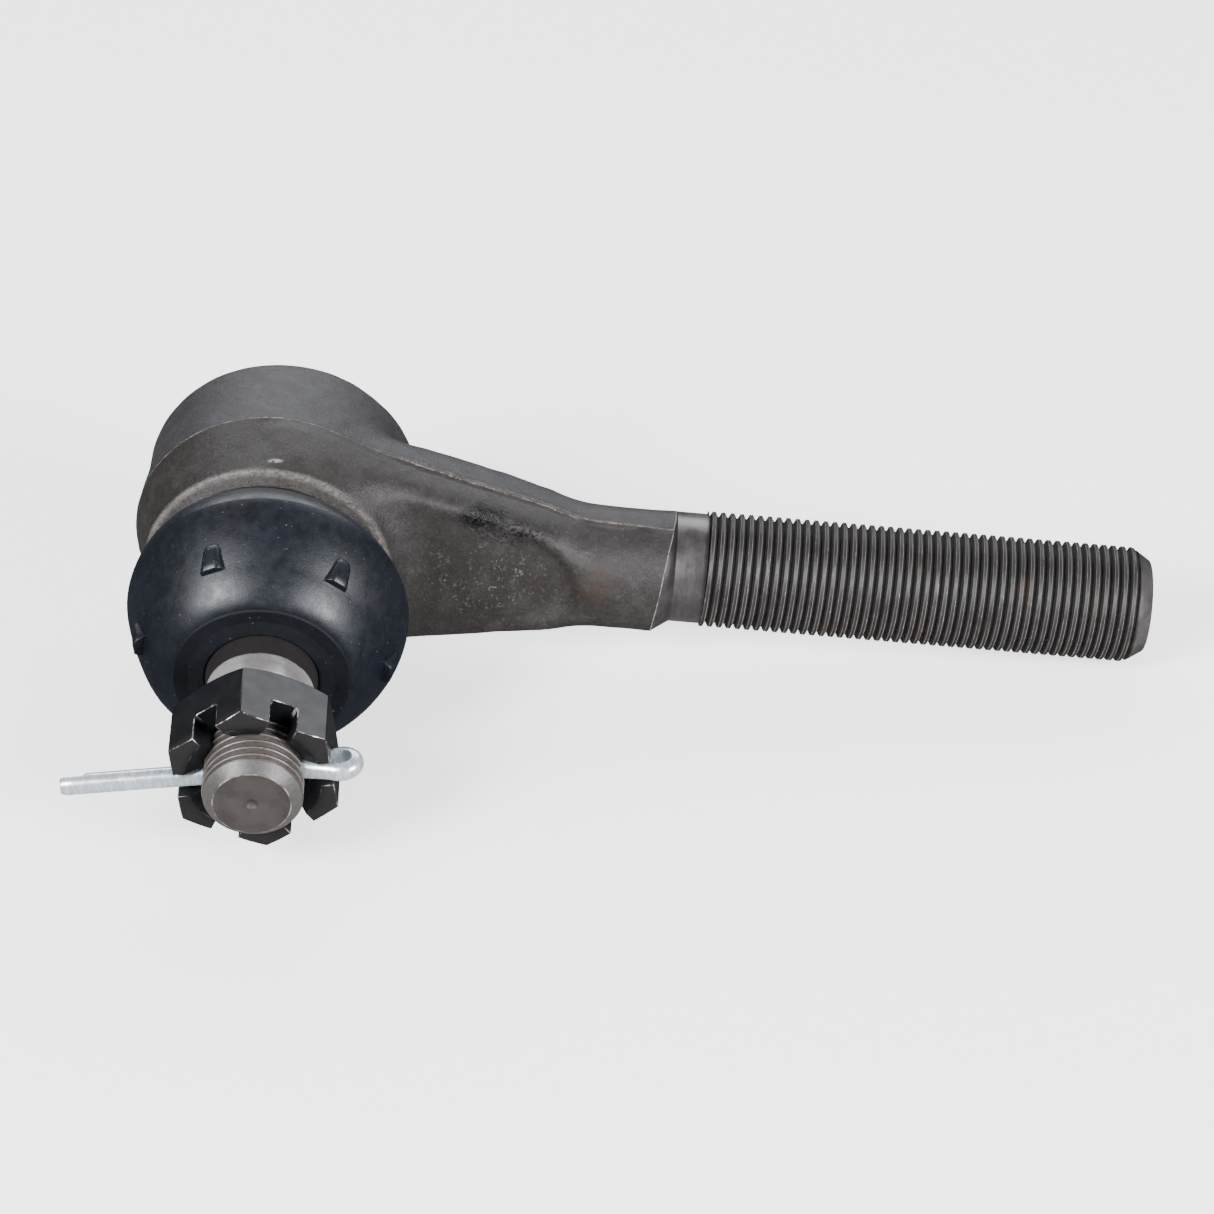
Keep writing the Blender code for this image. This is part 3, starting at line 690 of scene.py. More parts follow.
def arm_distance(x, y, z):
    """Distance from the arm: a drafted bar with a scooped front that turns into a round end."""
    height = np.interp(x, ARM_X, ARM_HEIGHT)
    back = np.interp(x, ARM_X, ARM_BACK)
    front = np.interp(x, ARM_X, ARM_FRONT)
    sag = 0.30 - 0.45 * smooth((x - 24.0) / 22.0)
    draft = math.radians(6.0)
    aside = np.abs(y - flash_y(x))
    side = np.abs(z - sag) * math.cos(draft) + aside * math.sin(draft) - height * math.cos(draft)
    bar = soft_max(side, np.maximum(y - back, -y - front), np.where(y < flash_y(x), 4.2, 5.2))
    share = smooth((x - 40.5) / 9.0)
    rod = np.hypot(y - ROD_Y, z - ROD_Z) - ROD_R
    bar = bar * (1 - share) + rod * share
    end = 44.6 - 0.062 * (z - sag) ** 2
    across = np.abs(z - sag) - (height - 2.4)
    wall = 0.88 * (x - end) + 0.47 * (y + SCOOP_Y)
    scoop = soft_max(soft_max(across, wall, 3.4), y + SCOOP_Y, 2.2)
    bar = soft_max(bar, -scoop, 1.2)
    return soft_max(bar, 3.0 - x, 2.0)


def forging_distance(p):
    """Signed distance from the forging's skin, with its flash line and small dents."""
    x, y, z = p[:, 0], p[:, 1], p[:, 2]
    r = np.hypot(x, z)
    aside = REAR_ASIDE * smooth((y - 1.0) / 9.0) * smooth((17.6 - y) / 2.4)
    socket = polygon_distance(np.hypot(x - aside, z), y, socket_section())
    fillet = 1.6 + 4.4 * smooth((1.0 - y) / 4.0)
    body = soft_min(socket, arm_distance(x, y, z), fillet)
    seam = np.abs(y - flash_y(x))
    fade = smooth((59.0 - x) / 8.0)
    on_arm = smooth((x - 12.0) / 4.0)
    width = 0.22 + 0.30 * on_arm
    land = 1 - smooth((seam - width) / 0.35)
    body = body - fade * land * (0.13 + 0.17 * on_arm)
    wave = np.sin(0.41 * x + 1.3 * np.sin(0.23 * z)) * np.sin(0.37 * y + 0.29 * z + 0.8)
    body = body + 0.06 * wave + 0.025 * np.sin(1.15 * x - 0.6 * z) * np.sin(1.3 * y + 0.9 * z)
    cavity = polygon_distance(r, y, cavity_section())
    return np.maximum(body, -cavity)


def slope_of(distance, verts, nudge):
    """Difference of a distance across each vertex, along X, Y and Z."""
    steps = nudge * np.eye(3)
    return np.stack([distance(verts + step) - distance(verts - step) for step in steps], -1)


def surface_net(distance, low, high, cell):
    """Quads along the zero of a signed distance, with each vertex then moved onto it."""
    counts = [int(math.ceil((h - l) / cell)) + 1 for l, h in zip(low, high)]
    axes = [l + cell * np.arange(n) for l, n in zip(low, counts)]
    values = np.empty(counts, np.float32)
    plane = np.stack(np.meshgrid(axes[1], axes[2], indexing="ij"), -1).reshape(-1, 2)
    for i, x in enumerate(axes[0]):
        points = np.column_stack([np.full(len(plane), x), plane])
        values[i] = distance(points).reshape(counts[1:])
    solid = values < 0
    corners = [(i, j, k) for i in (0, 1) for j in (0, 1) for k in (0, 1)]
    size = tuple(n - 1 for n in counts)

    def shifted(array, c):
        return array[c[0] : c[0] + size[0], c[1] : c[1] + size[1], c[2] : c[2] + size[2]]

    filled = sum(shifted(solid, c).astype(np.int8) for c in corners)
    index = np.full(size, -1, np.int64)
    where = np.argwhere((filled > 0) & (filled < 8))
    index[tuple(where.T)] = np.arange(len(where))
    total, weight = np.zeros((len(where), 3)), np.zeros(len(where))
    for a in corners:
        for b in corners:
            if sum(abs(m - n) for m, n in zip(a, b)) != 1 or a > b:
                continue
            va = values[tuple((where + a).T)]
            vb = values[tuple((where + b).T)]
            cross = (va < 0) != (vb < 0)
            t = np.where(cross, va / np.where(cross, va - vb, 1), 0)[:, None]
            at = np.array(a) + (np.array(b) - np.array(a)) * t
            total += np.where(cross[:, None], at, 0)
            weight += cross
    verts = np.array(low) + cell * (where + total / weight[:, None])
    faces = []
    for axis in range(3):
        u, v = (axis + 1) % 3, (axis + 2) % 3
        step = np.eye(3, dtype=int)
        first = np.argwhere(np.diff(solid.astype(np.int8), axis=axis) != 0)
        inner = (first[:, u] > 0) & (first[:, v] > 0) & (first[:, u] < size[u]) & (first[:, v] < size[v])
        first = first[inner]
        ring = [first - step[u] - step[v], first - step[v], first, first - step[u]]
        quad = np.stack([index[tuple(c.T)] for c in ring], -1)
        flip = ~solid[tuple(first.T)]
        quad[flip] = quad[flip][:, ::-1]
        faces.append(quad)
    faces = np.concatenate(faces)
    nudge = 0.02
    for _ in range(3):
        here = distance(verts)
        slope = slope_of(distance, verts, nudge) / (2 * nudge)
        scale = np.clip((slope**2).sum(-1), 0.25, None)
        verts = verts - slope * np.clip(here / scale, -cell / 2, cell / 2)[:, None]
    return verts, faces


def convexity(verts, distance, reach=0.8):
    """How far the skin bends away around each vertex: above 0 on edges, below 0 in fillets."""
    nudge = 0.05
    slope = slope_of(distance, verts, nudge)
    normal = slope / np.linalg.norm(slope, axis=1, keepdims=True)
    helper = np.where(np.abs(normal[:, :1]) < 0.7, [[1.0, 0, 0]], [[0, 1.0, 0]])
    first = np.cross(normal, helper)
    first /= np.linalg.norm(first, axis=1, keepdims=True)
    second = np.cross(normal, first)
    around = sum(distance(verts + reach * d) for d in (first, -first, second, -second))
    return around / 4 / reach


def make_forging(frame, looks):
    """The forged socket and arm, cut by the cone that was turned at the shank's shoulder."""
    low, high = (-21.6, -16.0, -21.6), (61.0, 19.0, 21.6)
    verts, faces = surface_net(forging_distance, low, high, CELL)
    edge = convexity(verts, forging_distance)
    body = new_object("forged_socket_and_arm", verts, faces, frame, looks[:1])
    store(body, "wear", np.clip(edge * 3.0 - 0.35, 0, 1))
    x, y = verts[:, 0], verts[:, 1]
    on_arm = smooth((x - 10.0) / 4.0) * smooth((48.0 - x) / 3.0) * smooth((-1.5 - y) / 1.5)
    # Concave fillets on the arm's front, which carry a painted highlight.
    store(body, "fillet_highlight", np.clip(-edge * 7.0 - 0.15, 0, 1) * on_arm)
    wide = 40.0
    narrow = SHOULDER_X - (wide - NECK_R) / CONE_SLOPE
    tip = SHOULDER_X + 0.15
    outline = [(0, -60), (wide, -60), (wide, narrow), (NECK_R - 0.1, tip), (0, tip)]
    cut_verts, cut_faces = lathe(outline, 160, "X")
    cut_verts, cut_faces, _ = merge(cut_verts, cut_faces, [])
    cutter = new_object("shoulder_cutter", cut_verts, cut_faces, frame, looks[1:])
    apply_boolean(body, cutter, "INTERSECT")
    return body


def apply_boolean(obj, cutter, operation):
    """Applies an exact Boolean to obj and removes the cutter."""
    modifier = obj.modifiers.new("cut", "BOOLEAN")
    modifier.operation = operation
    modifier.solver = "EXACT"
    modifier.material_mode = "TRANSFER"
    modifier.object = cutter
    bpy.context.view_layer.update()
    graph = bpy.context.evaluated_depsgraph_get()
    made = bpy.data.meshes.new_from_object(obj.evaluated_get(graph), depsgraph=graph)
    obj.modifiers.clear()
    old = obj.data
    obj.data = made
    made.name = obj.name
    bpy.data.meshes.remove(old)
    bpy.data.objects.remove(cutter)


# ---------------------------------------------------------------- threads


def threaded_rows(start, end, crest_r, root_r, columns, hand, phase):
    """Rows of a rolled thread as (distance, radius, worn and lit line), and how many there are to a pitch.

    Each crest has two low ridges; the line value marks them, for wear and for a painted highlight.
    """
    form = [(0.0, 0.0, 0), (0.08, 0.12, 0), (0.18, 0.45, 0), (0.27, 0.78, 0), (0.33, 0.95, 0.75)]
    form += [(0.38, 1.0, 0.1), (0.5, 0.91, 0), (0.62, 1.0, 0.1), (0.67, 0.95, 1.0), (0.73, 0.78, 0)]
    form += [(0.82, 0.45, 0), (0.92, 0.12, 0)]
    turns = int(math.ceil((end - start) / PITCH)) + 2
    share = np.arange(columns) / columns
    rows = []
    for k in range(-1, turns + 1):
        for u, rise, line in form:
            d = start + PITCH * (k + u + phase + hand * share)
            r = np.full(columns, root_r + rise * (crest_r - root_r))
            rows.append((d, r, np.full(columns, line)))
    return rows, len(form)


def threaded_skin(start, end, crest_r, root_r, columns, hand, envelope, phase):
    """Vertices, faces and crest values of a thread, trimmed to start and end and to an envelope."""
    rows, per_turn = threaded_rows(start, end, crest_r, root_r, columns, hand, phase)
    turns = 2 * np.pi * np.arange(columns) / columns
    verts, crest = [], []
    for d, r, line in rows:
        d = np.clip(d, start, end)
        low, high = envelope(d)
        new_r = np.clip(r, low, high)
        trimmed = np.abs(new_r - r) > 1e-6
        verts.append(np.stack([d, new_r * np.cos(turns), new_r * np.sin(turns)], -1))
        crest.append(np.where(trimmed, 0.0, line))
    count = len(rows)
    faces = []
    for i in range(count - 1):
        for j in range(columns):
            k = j + 1
            a, b = i * columns + j, (i + 1) * columns + j
            if k < columns:
                c, d = (i + 1) * columns + k, i * columns + k
            else:
                shift = hand * per_turn
                if not (0 <= i + shift and i + 1 + shift < count):
                    continue
                c, d = (i + 1 + shift) * columns, (i + shift) * columns
            faces.append((a, d, c, b))
    return np.concatenate(verts), faces, np.concatenate(crest)


def join_skins(parts):
    """Stacks several skins, each (verts, faces, value) into one."""
    verts, faces, values = [], [], []
    base = 0
    for v, f, e in parts:
        verts.append(v)
        faces += [tuple(i + base for i in face) for face in f]
        values.append(e)
        base += len(v)
    return np.concatenate(verts), faces, np.concatenate(values)


def make_shank(frame, looks):
    """The turned neck, the left-hand thread and the chamfered tip."""
    columns = 120
    root_r = THREAD_R - 0.78
    thread_end = SHANK_END_X - TIP_CHAMFER + 0.9

    def envelope(d):
        tip = TIP_R + (SHANK_END_X - d) * (THREAD_R + 0.1 - TIP_R) / TIP_CHAMFER
        run_in = NECK_R - 0.05 - smooth((d - THREAD_X) / 1.5) * 2.0
        return np.minimum(run_in, tip), np.minimum(THREAD_R, tip)

    verts, faces, crest = threaded_skin(THREAD_X, thread_end, THREAD_R, root_r, columns, -1, envelope, 0.28)
    neck = [(0, SHOULDER_X - 1.0)] + [(NECK_R, d) for d in np.linspace(SHOULDER_X - 1.0, THREAD_X - 0.35, 9)]
    neck += [(NECK_R - 0.05, THREAD_X - 0.05), (NECK_R - 0.05, THREAD_X)]
    neck_verts, neck_faces = lathe(neck, columns, "X")
    tip_r = float(envelope(np.array([thread_end]))[1][0])
    drilled = [(2.2, SHANK_END_X, 0.1), (1.6, SHANK_END_X - 0.6, 0), (0, SHANK_END_X - 1.6, 0)]
    tip = rounded([(tip_r, thread_end, 0), (TIP_R, SHANK_END_X, 0.45)] + drilled)
    tip.insert(-4, (TIP_R - 0.6, SHANK_END_X))
    tip_verts, tip_faces = lathe(tip, columns, "X")
    parts = [
        (neck_verts, neck_faces, np.full(len(neck_verts), 0.0)),
        (verts, faces, crest),
        (tip_verts, tip_faces, np.full(len(tip_verts), 0.0)),
    ]
    all_verts, all_faces, values = join_skins(parts)
    all_verts, all_faces, (values,) = merge(all_verts, all_faces, [values])
    shank = new_object("threaded_shank", all_verts, all_faces, frame, looks, 40.0)
    store(shank, "crest", values)
    inverse = frame.inverted()
    for polygon in shank.data.polygons:
        d = (inverse @ polygon.center).x / MM
        polygon.material_index = 1 if THREAD_X - 0.01 < d < thread_end + 0.01 else 0
    return shank


def make_stud(frame, pin_frame, looks):
    """The ball stud, drawn along +X of a frame whose +X is the stud's own direction."""
    columns = 96
    root_r = STUD_THREAD_R - 0.72
    start, end = 42.2, STUD_LENGTH - 1.4

    def envelope(d):
        tip = STUD_TIP_R + 0.05 + (STUD_LENGTH - d) * 1.05
        run_in = STUD_THREAD_R - 0.1 - smooth((d - start) / 1.2) * 2.0
        return np.minimum(run_in, tip), np.minimum(STUD_THREAD_R, tip)

    verts, faces, crest = threaded_skin(start, end, STUD_THREAD_R, root_r, columns, 1, envelope, 0.1)
    meets = math.asin(STUD_NECK_R / BALL_R)
    ball = [(0, -0.94 * BALL_R)]
    for t in np.linspace(math.pi - math.acos(0.94), meets, 26):
        ball.append((BALL_R * math.sin(t), BALL_R * math.cos(t)))
    (d0, r0), (d1, r1) = TAPER
    neck_r = STUD_THREAD_R - 0.1
    shaft = [(*ball[-1], 0), (STUD_NECK_R, 17.5, 6), (r0 - 0.2, d0 - 1.4, 1.5), (r0, d0, 1.0)]
    shaft += [(r1, d1, 0.3), (neck_r, start - 0.3, 0), (neck_r, start, 0)]
    shaft_verts, shaft_faces = lathe(ball + rounded(shaft)[1:], columns, "X")
    tip_r = float(envelope(np.array([end]))[1][0])
    tip = [(tip_r, end), (tip_r - 0.1, end + 0.1)]
    tip += [(STUD_TIP_R + 0.12, STUD_LENGTH - 0.09), (STUD_TIP_R + 0.06, STUD_LENGTH - 0.03)]
    tip += [(r, STUD_LENGTH) for r in (STUD_TIP_R - 0.02, STUD_TIP_R - 0.14, 3.5, 1.1, 0.98)]
    tip += [(0.86, STUD_LENGTH - 0.08), (0.4, STUD_LENGTH - 0.5), (0, STUD_LENGTH - 0.62)]
    tip_verts, tip_faces = lathe(tip, columns, "X")
    parts = [
        (shaft_verts, shaft_faces, np.zeros(len(shaft_verts))),
        (verts, faces, crest),
        (tip_verts, tip_faces, np.zeros(len(tip_verts))),
    ]
    all_verts, all_faces, values = join_skins(parts)
    all_verts, all_faces, (values,) = merge(all_verts, all_faces, [values])
    stud = new_object("threaded_ball_stud", all_verts, all_faces, frame, looks, 40.0)
    store(stud, "crest", values)
    inverse = frame.inverted()
    for polygon in stud.data.polygons:
        d = (inverse @ polygon.center).x / MM
        polygon.material_index = 1 if start < d < end else (2 if d >= end else 0)
    drill_verts, drill_faces = lathe([(0, -14), (PIN_HOLE_R, -14), (PIN_HOLE_R, 14), (0, 14)], 40, "X")
    drill_verts, drill_faces, _ = merge(drill_verts, drill_faces, [])
    drill = new_object("drill", drill_verts, drill_faces, pin_frame, looks[:1])
    apply_boolean(stud, drill, "DIFFERENCE")
    return stud


# ---------------------------------------------------------------- nut and split pin


def make_nut(frame, looks):
    """The castle nut: hexagon, countersunk crown, six slots, and edges worn bright."""
    corner = NUT_FLATS / 2 / math.cos(math.pi / 6)
    crown, face = -NUT_CROWN, NUT_HEIGHT - NUT_CROWN
    bm = bmesh.new()
    loops = []
    turns = [math.pi / 3 * (i + 0.5) for i in range(6)]
    for y in (crown, face):
        loops.append([bm.verts.new((corner * math.cos(t), y, corner * math.sin(t))) for t in turns])
    for i in range(6):
        j = (i + 1) % 6
        bm.faces.new((loops[0][i], loops[0][j], loops[1][j], loops[1][i]))
    bm.faces.new(loops[0][::-1])
    bm.faces.new(loops[1])
    bmesh.ops.recalc_face_normals(bm, faces=bm.faces)
    mesh = bpy.data.meshes.new("castle_nut_body")
    bm.to_mesh(mesh)
    bm.free()
    mesh.transform(Matrix.Scale(MM, 4))
    mesh.transform(frame)
    for look in looks:
        mesh.materials.append(look)
    nut = bpy.data.objects.new("castle_nut_body", mesh)
    bpy.context.scene.collection.objects.link(nut)
    flat = NUT_FLATS / 2
    drop = (corner + 1.7 - flat) * math.tan(math.radians(32))
    outline = [(0, crown - 0.01), (flat + 0.55, crown - 0.01), (corner + 1, crown + 0.5)]
    outline += [(corner + 1, face - drop), (flat - 0.7, face), (0, face)]
    cut(nut, outline, 144, frame, "INTERSECT", looks)
    bore_r = STUD_THREAD_R + 0.25
    bore = [(0, crown - 1.0), (bore_r + 2.1 + 1.0 / 0.62, crown - 1.0), (bore_r + 0.1, crown + 1.3)]
    bore += [(bore_r, crown + 1.4), (bore_r, face - 0.7), (bore_r + 1.0, face + 0.3), (0, face + 0.3)]
    cut(nut, bore, 96, frame, "DIFFERENCE", looks)
    half, deep = SLOT_WIDTH / 2, SLOT_DEPTH
    for i in range(3):
        turn = Matrix.Rotation(-math.pi / 3 * i, 4, "Y")
        ring = rounded([(-half, -3, 0), (-half, deep, 0.55), (half, deep, 0.55), (half, -3, 0)], 3)
        verts, faces = [], []
        for x in (-16, 16):
            verts += [(x, crown + b, a) for a, b in ring]
        count = len(ring)
        faces = [tuple(range(count))[::-1], tuple(range(count, 2 * count))]
        for k in range(count):
            m = (k + 1) % count
            faces.append((k, m, count + m, count + k))
        slot = new_object("slot", verts, faces, frame @ turn, looks[:1])
        apply_boolean(nut, slot, "DIFFERENCE")
    bm = bmesh.new()
    bm.from_mesh(nut.data)
    bmesh.ops.remove_doubles(bm, verts=bm.verts, dist=0.01 * MM)
    bmesh.ops.dissolve_limit(bm, angle_limit=math.radians(0.6), verts=bm.verts, edges=bm.edges)
    bm.to_mesh(nut.data)
    bm.free()
    bevel = nut.modifiers.new("worn_edges", "BEVEL")
    bevel.width = 0.12 * MM
    bevel.segments = 2
    bevel.use_clamp_overlap = False
    bevel.limit_method = "ANGLE"
    bevel.angle_limit = math.radians(22)
    bevel.material = 1
    bevel.harden_normals = False
    nut.data.shade_smooth()
    nut.data.set_sharp_from_angle(angle=math.radians(30))
    return nut


def cut(obj, outline, columns, frame, operation, looks):
    """Boolean with a turned outline."""
    verts, faces = lathe(outline, columns, "Y")
    verts, faces, _ = merge(verts, faces, [])
    apply_boolean(obj, new_object("cutter", verts, faces, frame, looks[:1]), operation)


def make_pin(frame, look):
    """The split pin: half-round wire round an eye, legs closed, one leg longer."""
    half = 0.02
    path = [(-SHORT_LEG + d, half) for d in (0.0, 0.4, 0.9)]
    path += [(x, half) for x in np.linspace(-22.5, 7.0, 14)]
    lead = math.radians(135)
    for t in np.linspace(-lead, lead, 41):
        path.append((EYE_X + EYE_R * math.cos(t), -0.86 * EYE_R * math.sin(t)))
    path += [(x, -half) for x in np.linspace(7.0, -25.5, 14)] + [(-LONG_LEG + d, -half) for d in (0.6, 0.0)]
    points = [Vector(p) for p in path]
    last = len(points) - 1
    rows = []
    for _ in range(2):
        for i in range(1, last):
            if 8 < i < last - 8:
                points[i] = points[i] * 0.5 + (points[i - 1] + points[i + 1]) * 0.25
    arc = [(math.cos(t), math.sin(t)) for t in np.linspace(0.25, math.pi - 0.25, 14)]
    section = [(1.0, 0.0), (0.985, 0.12)] + arc + [(-0.985, 0.12), (-1.0, 0.0)]
    columns = len(section)
    for i, point in enumerate(points):
        ahead = (points[min(i + 1, last)] - points[max(i - 1, 0)]).normalized()
        outward = Vector((ahead.y, -ahead.x))
        radius = PIN_R * (0.86 if i in (0, last) else 1.0)
        for a, b in section:
            x, y = point - outward * radius * b
            rows.append((x, y, radius * a))
    verts, faces = with_caps(np.array(rows), grid_faces(len(points), columns), columns)
    pin = new_object("split_pin_wire", verts, faces, frame, [look], 45.0)
    face_outward(pin)
    return pin


# ---------------------------------------------------------------- boot


def boot_place(radius, distance, turn, lean):
    """Point of the boot's skin: its axis bends from the socket's towards the stud's."""
    share = float(smooth((distance - 15.0) / (BOOT_LIP_AT - 19.0)))
    straight = Vector((0, -distance, 0))
    centre = straight.lerp(lean @ straight, share)
    slump = math.sin(math.pi * min(max((distance - 15.0) / 14.0, 0.0), 1.0))
    centre += Vector((BOOT_SHIFT[0] * slump, 0, BOOT_SHIFT[1] * slump))
    rotation = Matrix.Identity(3).to_quaternion().slerp(lean.to_quaternion(), share)
    return centre + rotation @ Vector((radius * math.cos(turn), 0, radius * math.sin(turn)))


def shoulder(start, end, fullness, steps):
    """Superellipse from the bulge (radius, distance) at start to end."""
    points = []
    for t in np.linspace(0, math.pi / 2, steps):
        c, s = math.cos(t) ** (2 / fullness), math.sin(t) ** (2 / fullness)
        points.append((end[0] + (start[0] - end[0]) * c, start[1] + (end[1] - start[1]) * s))
    return points


def boot_skin(name, profile, lean, frame, look, columns=240):
    """A skin through the boot's (radius, distance) profile."""
    turns = 2 * np.pi * np.arange(columns) / columns
    verts = [boot_place(r, d, t, lean) for r, d in profile for t in turns]
    verts, faces, _ = merge(verts, grid_faces(len(profile), columns), [])
    skin = new_object(name, verts, faces, frame, [look], 60.0)
    face_outward(skin)
    return skin


def make_boot(frame, lean, look, lip_look):
    """The boot in two pieces that meet at its bulge, and the profile of its front for the nibs."""
    bulge = (BOOT_R, BOOT_BULGE_AT)
    base = [(15.5, 12.2), (16.2, 12.2), (16.6, 12.5), (16.8, 13.2)]
    rear = shoulder(bulge, (16.8, 14.4), 1.4, 22)[::-1]
    skirt_inner = [(BOOT_R - 1.6, BOOT_BULGE_AT)] + [(17.6, 17.4), (15.9, 16.4), (15.5, 16.2), (15.5, 12.2)]
    skirt = boot_skin("boot_skirt", base + rear + skirt_inner, lean, frame, look)
    front = shoulder(bulge, (BOOT_LIP_R, BOOT_LIP_AT - 0.2), 1.46, 30)
    edge = BOOT_LIP_R - 0.3
    lip = [(*front[-1], 0), (edge + 0.12, BOOT_LIP_AT + 0.02, 0.1), (edge - 0.25, BOOT_LIP_AT - 0.05, 0.2)]
    lip += [(10.6, BOOT_LIP_AT - 0.3, 1.0), (8.5, BOOT_LIP_AT + 0.12, 0.3), (8.16, BOOT_LIP_AT - 0.1, 0.1)]
    lip = rounded(lip + [(8.22, BOOT_LIP_AT - 3.2, 0)])
    inner = [(10.4, 29.8), (12.6, 28.8), (17.6, 24.2), (BOOT_R - 1.6, BOOT_BULGE_AT), bulge]
    neck = boot_skin("boot_neck", front + lip[1:] + inner, lean, frame, look)
    neck.data.materials.append(lip_look)
    for i, polygon in enumerate(neck.data.polygons):
        if len(front) - 1 <= i // 240 < len(front) + len(lip):
            polygon.material_index = 1
    return skirt, neck, front


def make_nibs(frame, lean, look, front):
    """Six small wedges moulded on the boot's shoulder."""
    made = []
    distances = [d for r, d in front]
    radii = [r for r, d in front]

    def skin(d, turn, out):
        r = float(np.interp(d, distances, radii))
        here = boot_place(r, d, turn, lean)
        step = 0.05
        r2 = float(np.interp(d + step, distances, radii))
        along = (boot_place(r2, d + step, turn, lean) - here).normalized()
        across = (boot_place(r, d, turn + 0.01, lean) - here).normalized()
        return here + across.cross(along).normalized() * out

    across = ((-1.25, -0.5), (-1.0, 0.0), (-0.86, 0.55), (-0.66, 0.92), (-0.4, 1.0))
    across += tuple((-a, lift) for a, lift in across[::-1])
    along = ((-3.0, 0.6, 0.05), (-2.7, 0.95, 0.35), (-2.0, 1.25, 0.7), (0.0, 1.6, 1.15))
    along += ((1.15, 1.88, 1.4), (1.32, 1.86, 1.3), (1.40, 1.74, 1.05))
    for i in range(6):
        turn = math.radians(NIB_TURN + 60 * i)
        bm = bmesh.new()
        rows = []
        for step, half, tall in along:
            row = []
            for a, lift in across:
                out = lift * (tall if lift > 0 else 1.0)
                row.append(bm.verts.new(skin(NIB_AT + step * 0.75, turn + a * half / 17.4, out)))
            rows.append(row)
        for lower, upper in zip(rows, rows[1:]):
            for k in range(len(across)):
                m = (k + 1) % len(across)
                bm.faces.new((lower[k], lower[m], upper[m], upper[k]))
        bm.faces.new(rows[0][::-1])
        bm.faces.new(rows[-1])
        bmesh.ops.recalc_face_normals(bm, faces=bm.faces)
        for vert in bm.verts:
            vert.co *= MM
        mesh = bpy.data.meshes.new(f"boot_nib_{i + 1}")
        bm.to_mesh(mesh)
        bm.free()
        mesh.transform(frame)
        mesh.shade_smooth()
        mesh.set_sharp_from_angle(angle=math.radians(50))
        mesh.materials.append(look)
        nib = bpy.data.objects.new(f"boot_nib_{i + 1}", mesh)
        bpy.context.scene.collection.objects.link(nib)
        made.append(nib)
    return made


# ---------------------------------------------------------------- rear cover and springs


def make_cover(frame, look):
    """The pressed cover inside the rolled lip, with a shallow ring pressed into it."""
    inside, outside = COVER_Y
    outline = [(COVER_HOLE_R, inside, 0), (COVER_R, inside, 0.2), (COVER_R, outside - 0.5, 0.3)]
    outline += [(14.5, outside - 0.5, 0.3), (13.7, outside, 0.4), (10.4, outside, 0.4)]
    outline += [(9.7, outside - 0.4, 0.4), (8.8, outside - 0.4, 0.4), (8.1, outside, 0.4)]
    profile = rounded(outline + [(COVER_HOLE_R, outside, 0)], 4)
    verts, faces = lathe(profile + [profile[0]], 120, "Y")
    verts, faces, _ = merge(verts, faces, [])
    return new_object("pressed_end_cover", verts, [f[::-1] for f in faces], frame, [look], 50.0)


def flexing_copy(packed, name, look):
    """A copy of a spring's mesh with its own look, standing in for the imported spring."""
    spring = bpy.data.objects.new(name + "_flexing", packed["nodes"][name].data.copy())
    spring.data.materials.clear()
    spring.data.materials.append(look)
    bpy.context.scene.collection.objects.link(spring)
    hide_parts(name)
    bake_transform(spring)


# ---------------------------------------------------------------- stage


def area_light(name, at, target, size, power, colour):
    data = bpy.data.lights.new(name, "AREA")
    data.shape = "RECTANGLE"
    data.size, data.size_y = size
    data.energy = power
    data.color = colour
    lamp = bpy.data.objects.new(name, data)
    lamp.location = at
    lamp.rotation_euler = (Vector(target) - Vector(at)).to_track_quat("-Z", "Y").to_euler()
    bpy.context.scene.collection.objects.link(lamp)


def make_stage():
    """Bright floor that shiny surfaces don't mirror, and soft boxes to the left, right and back."""
    mesh = bpy.data.meshes.new("floor")
    w, z = 3.0, -0.0002
    mesh.from_pydata([(-w, -w, z), (w, -w, z), (w, w, z), (-w, w, z)], [], [(0, 1, 2, 3)])
    s = Shader("floor_look", Matrix.Identity(4))
    s.set(Base_Color=(0.92, 0.92, 0.92, 1.0), Roughness=0.85)
    s.set(Emission_Color=(1.0, 1.0, 1.0, 1.0), Emission_Strength=1.6)
    mesh.materials.append(s.material)
    floor = bpy.data.objects.new("floor", mesh)
    bpy.context.scene.collection.objects.link(floor)
    floor.visible_glossy = False
    world = bpy.data.worlds.new("studio")
    world.use_nodes = True
    world.node_tree.nodes["Background"].inputs[0].default_value = (0.93, 0.96, 1, 1)
    world.node_tree.nodes["Background"].inputs[1].default_value = 0.10
    bpy.context.scene.world = world
    middle = Vector((-0.02, 0.0, 0.02))
    for name, way in (("left_box", (-0.57, -0.57, 0.58)), ("right_box", (0.72, -0.58, 0.38))):
        area_light(name, middle + 0.85 * Vector(way), middle, (0.30, 0.34), 13.0, (0.95, 0.965, 1.0))
    area_light("back_box", (0.0, 0.80, 0.58), middle, (1.3, 0.55), 10.5, (0.94, 0.96, 1.0))


def make_camera(frame):
    """The camera looks down along the stud's side of the part."""
    elevation, yaw = math.radians(35.21), math.radians(0.89)
    turn = Matrix.Rotation(yaw, 3, "Z")
    right = turn @ Vector((1, 0, 0))
    up = turn @ Vector((0, math.sin(elevation), math.cos(elevation)))
    forward = turn @ Vector((0, math.cos(elevation), -math.sin(elevation)))
    ball = frame.translation
    at = ball + right * 0.05006 - up * 0.01122 - forward * 0.62687
    data = bpy.data.cameras.new("camera")
    data.sensor_width = 36.0
    data.lens = 123.8
    data.clip_start = 0.01
    camera = bpy.data.objects.new("camera", data)
    camera.matrix_world = Matrix.Translation(at) @ Matrix((right, up, -forward)).transposed().to_4x4()
    bpy.context.scene.collection.objects.link(camera)
    bpy.context.scene.camera = camera


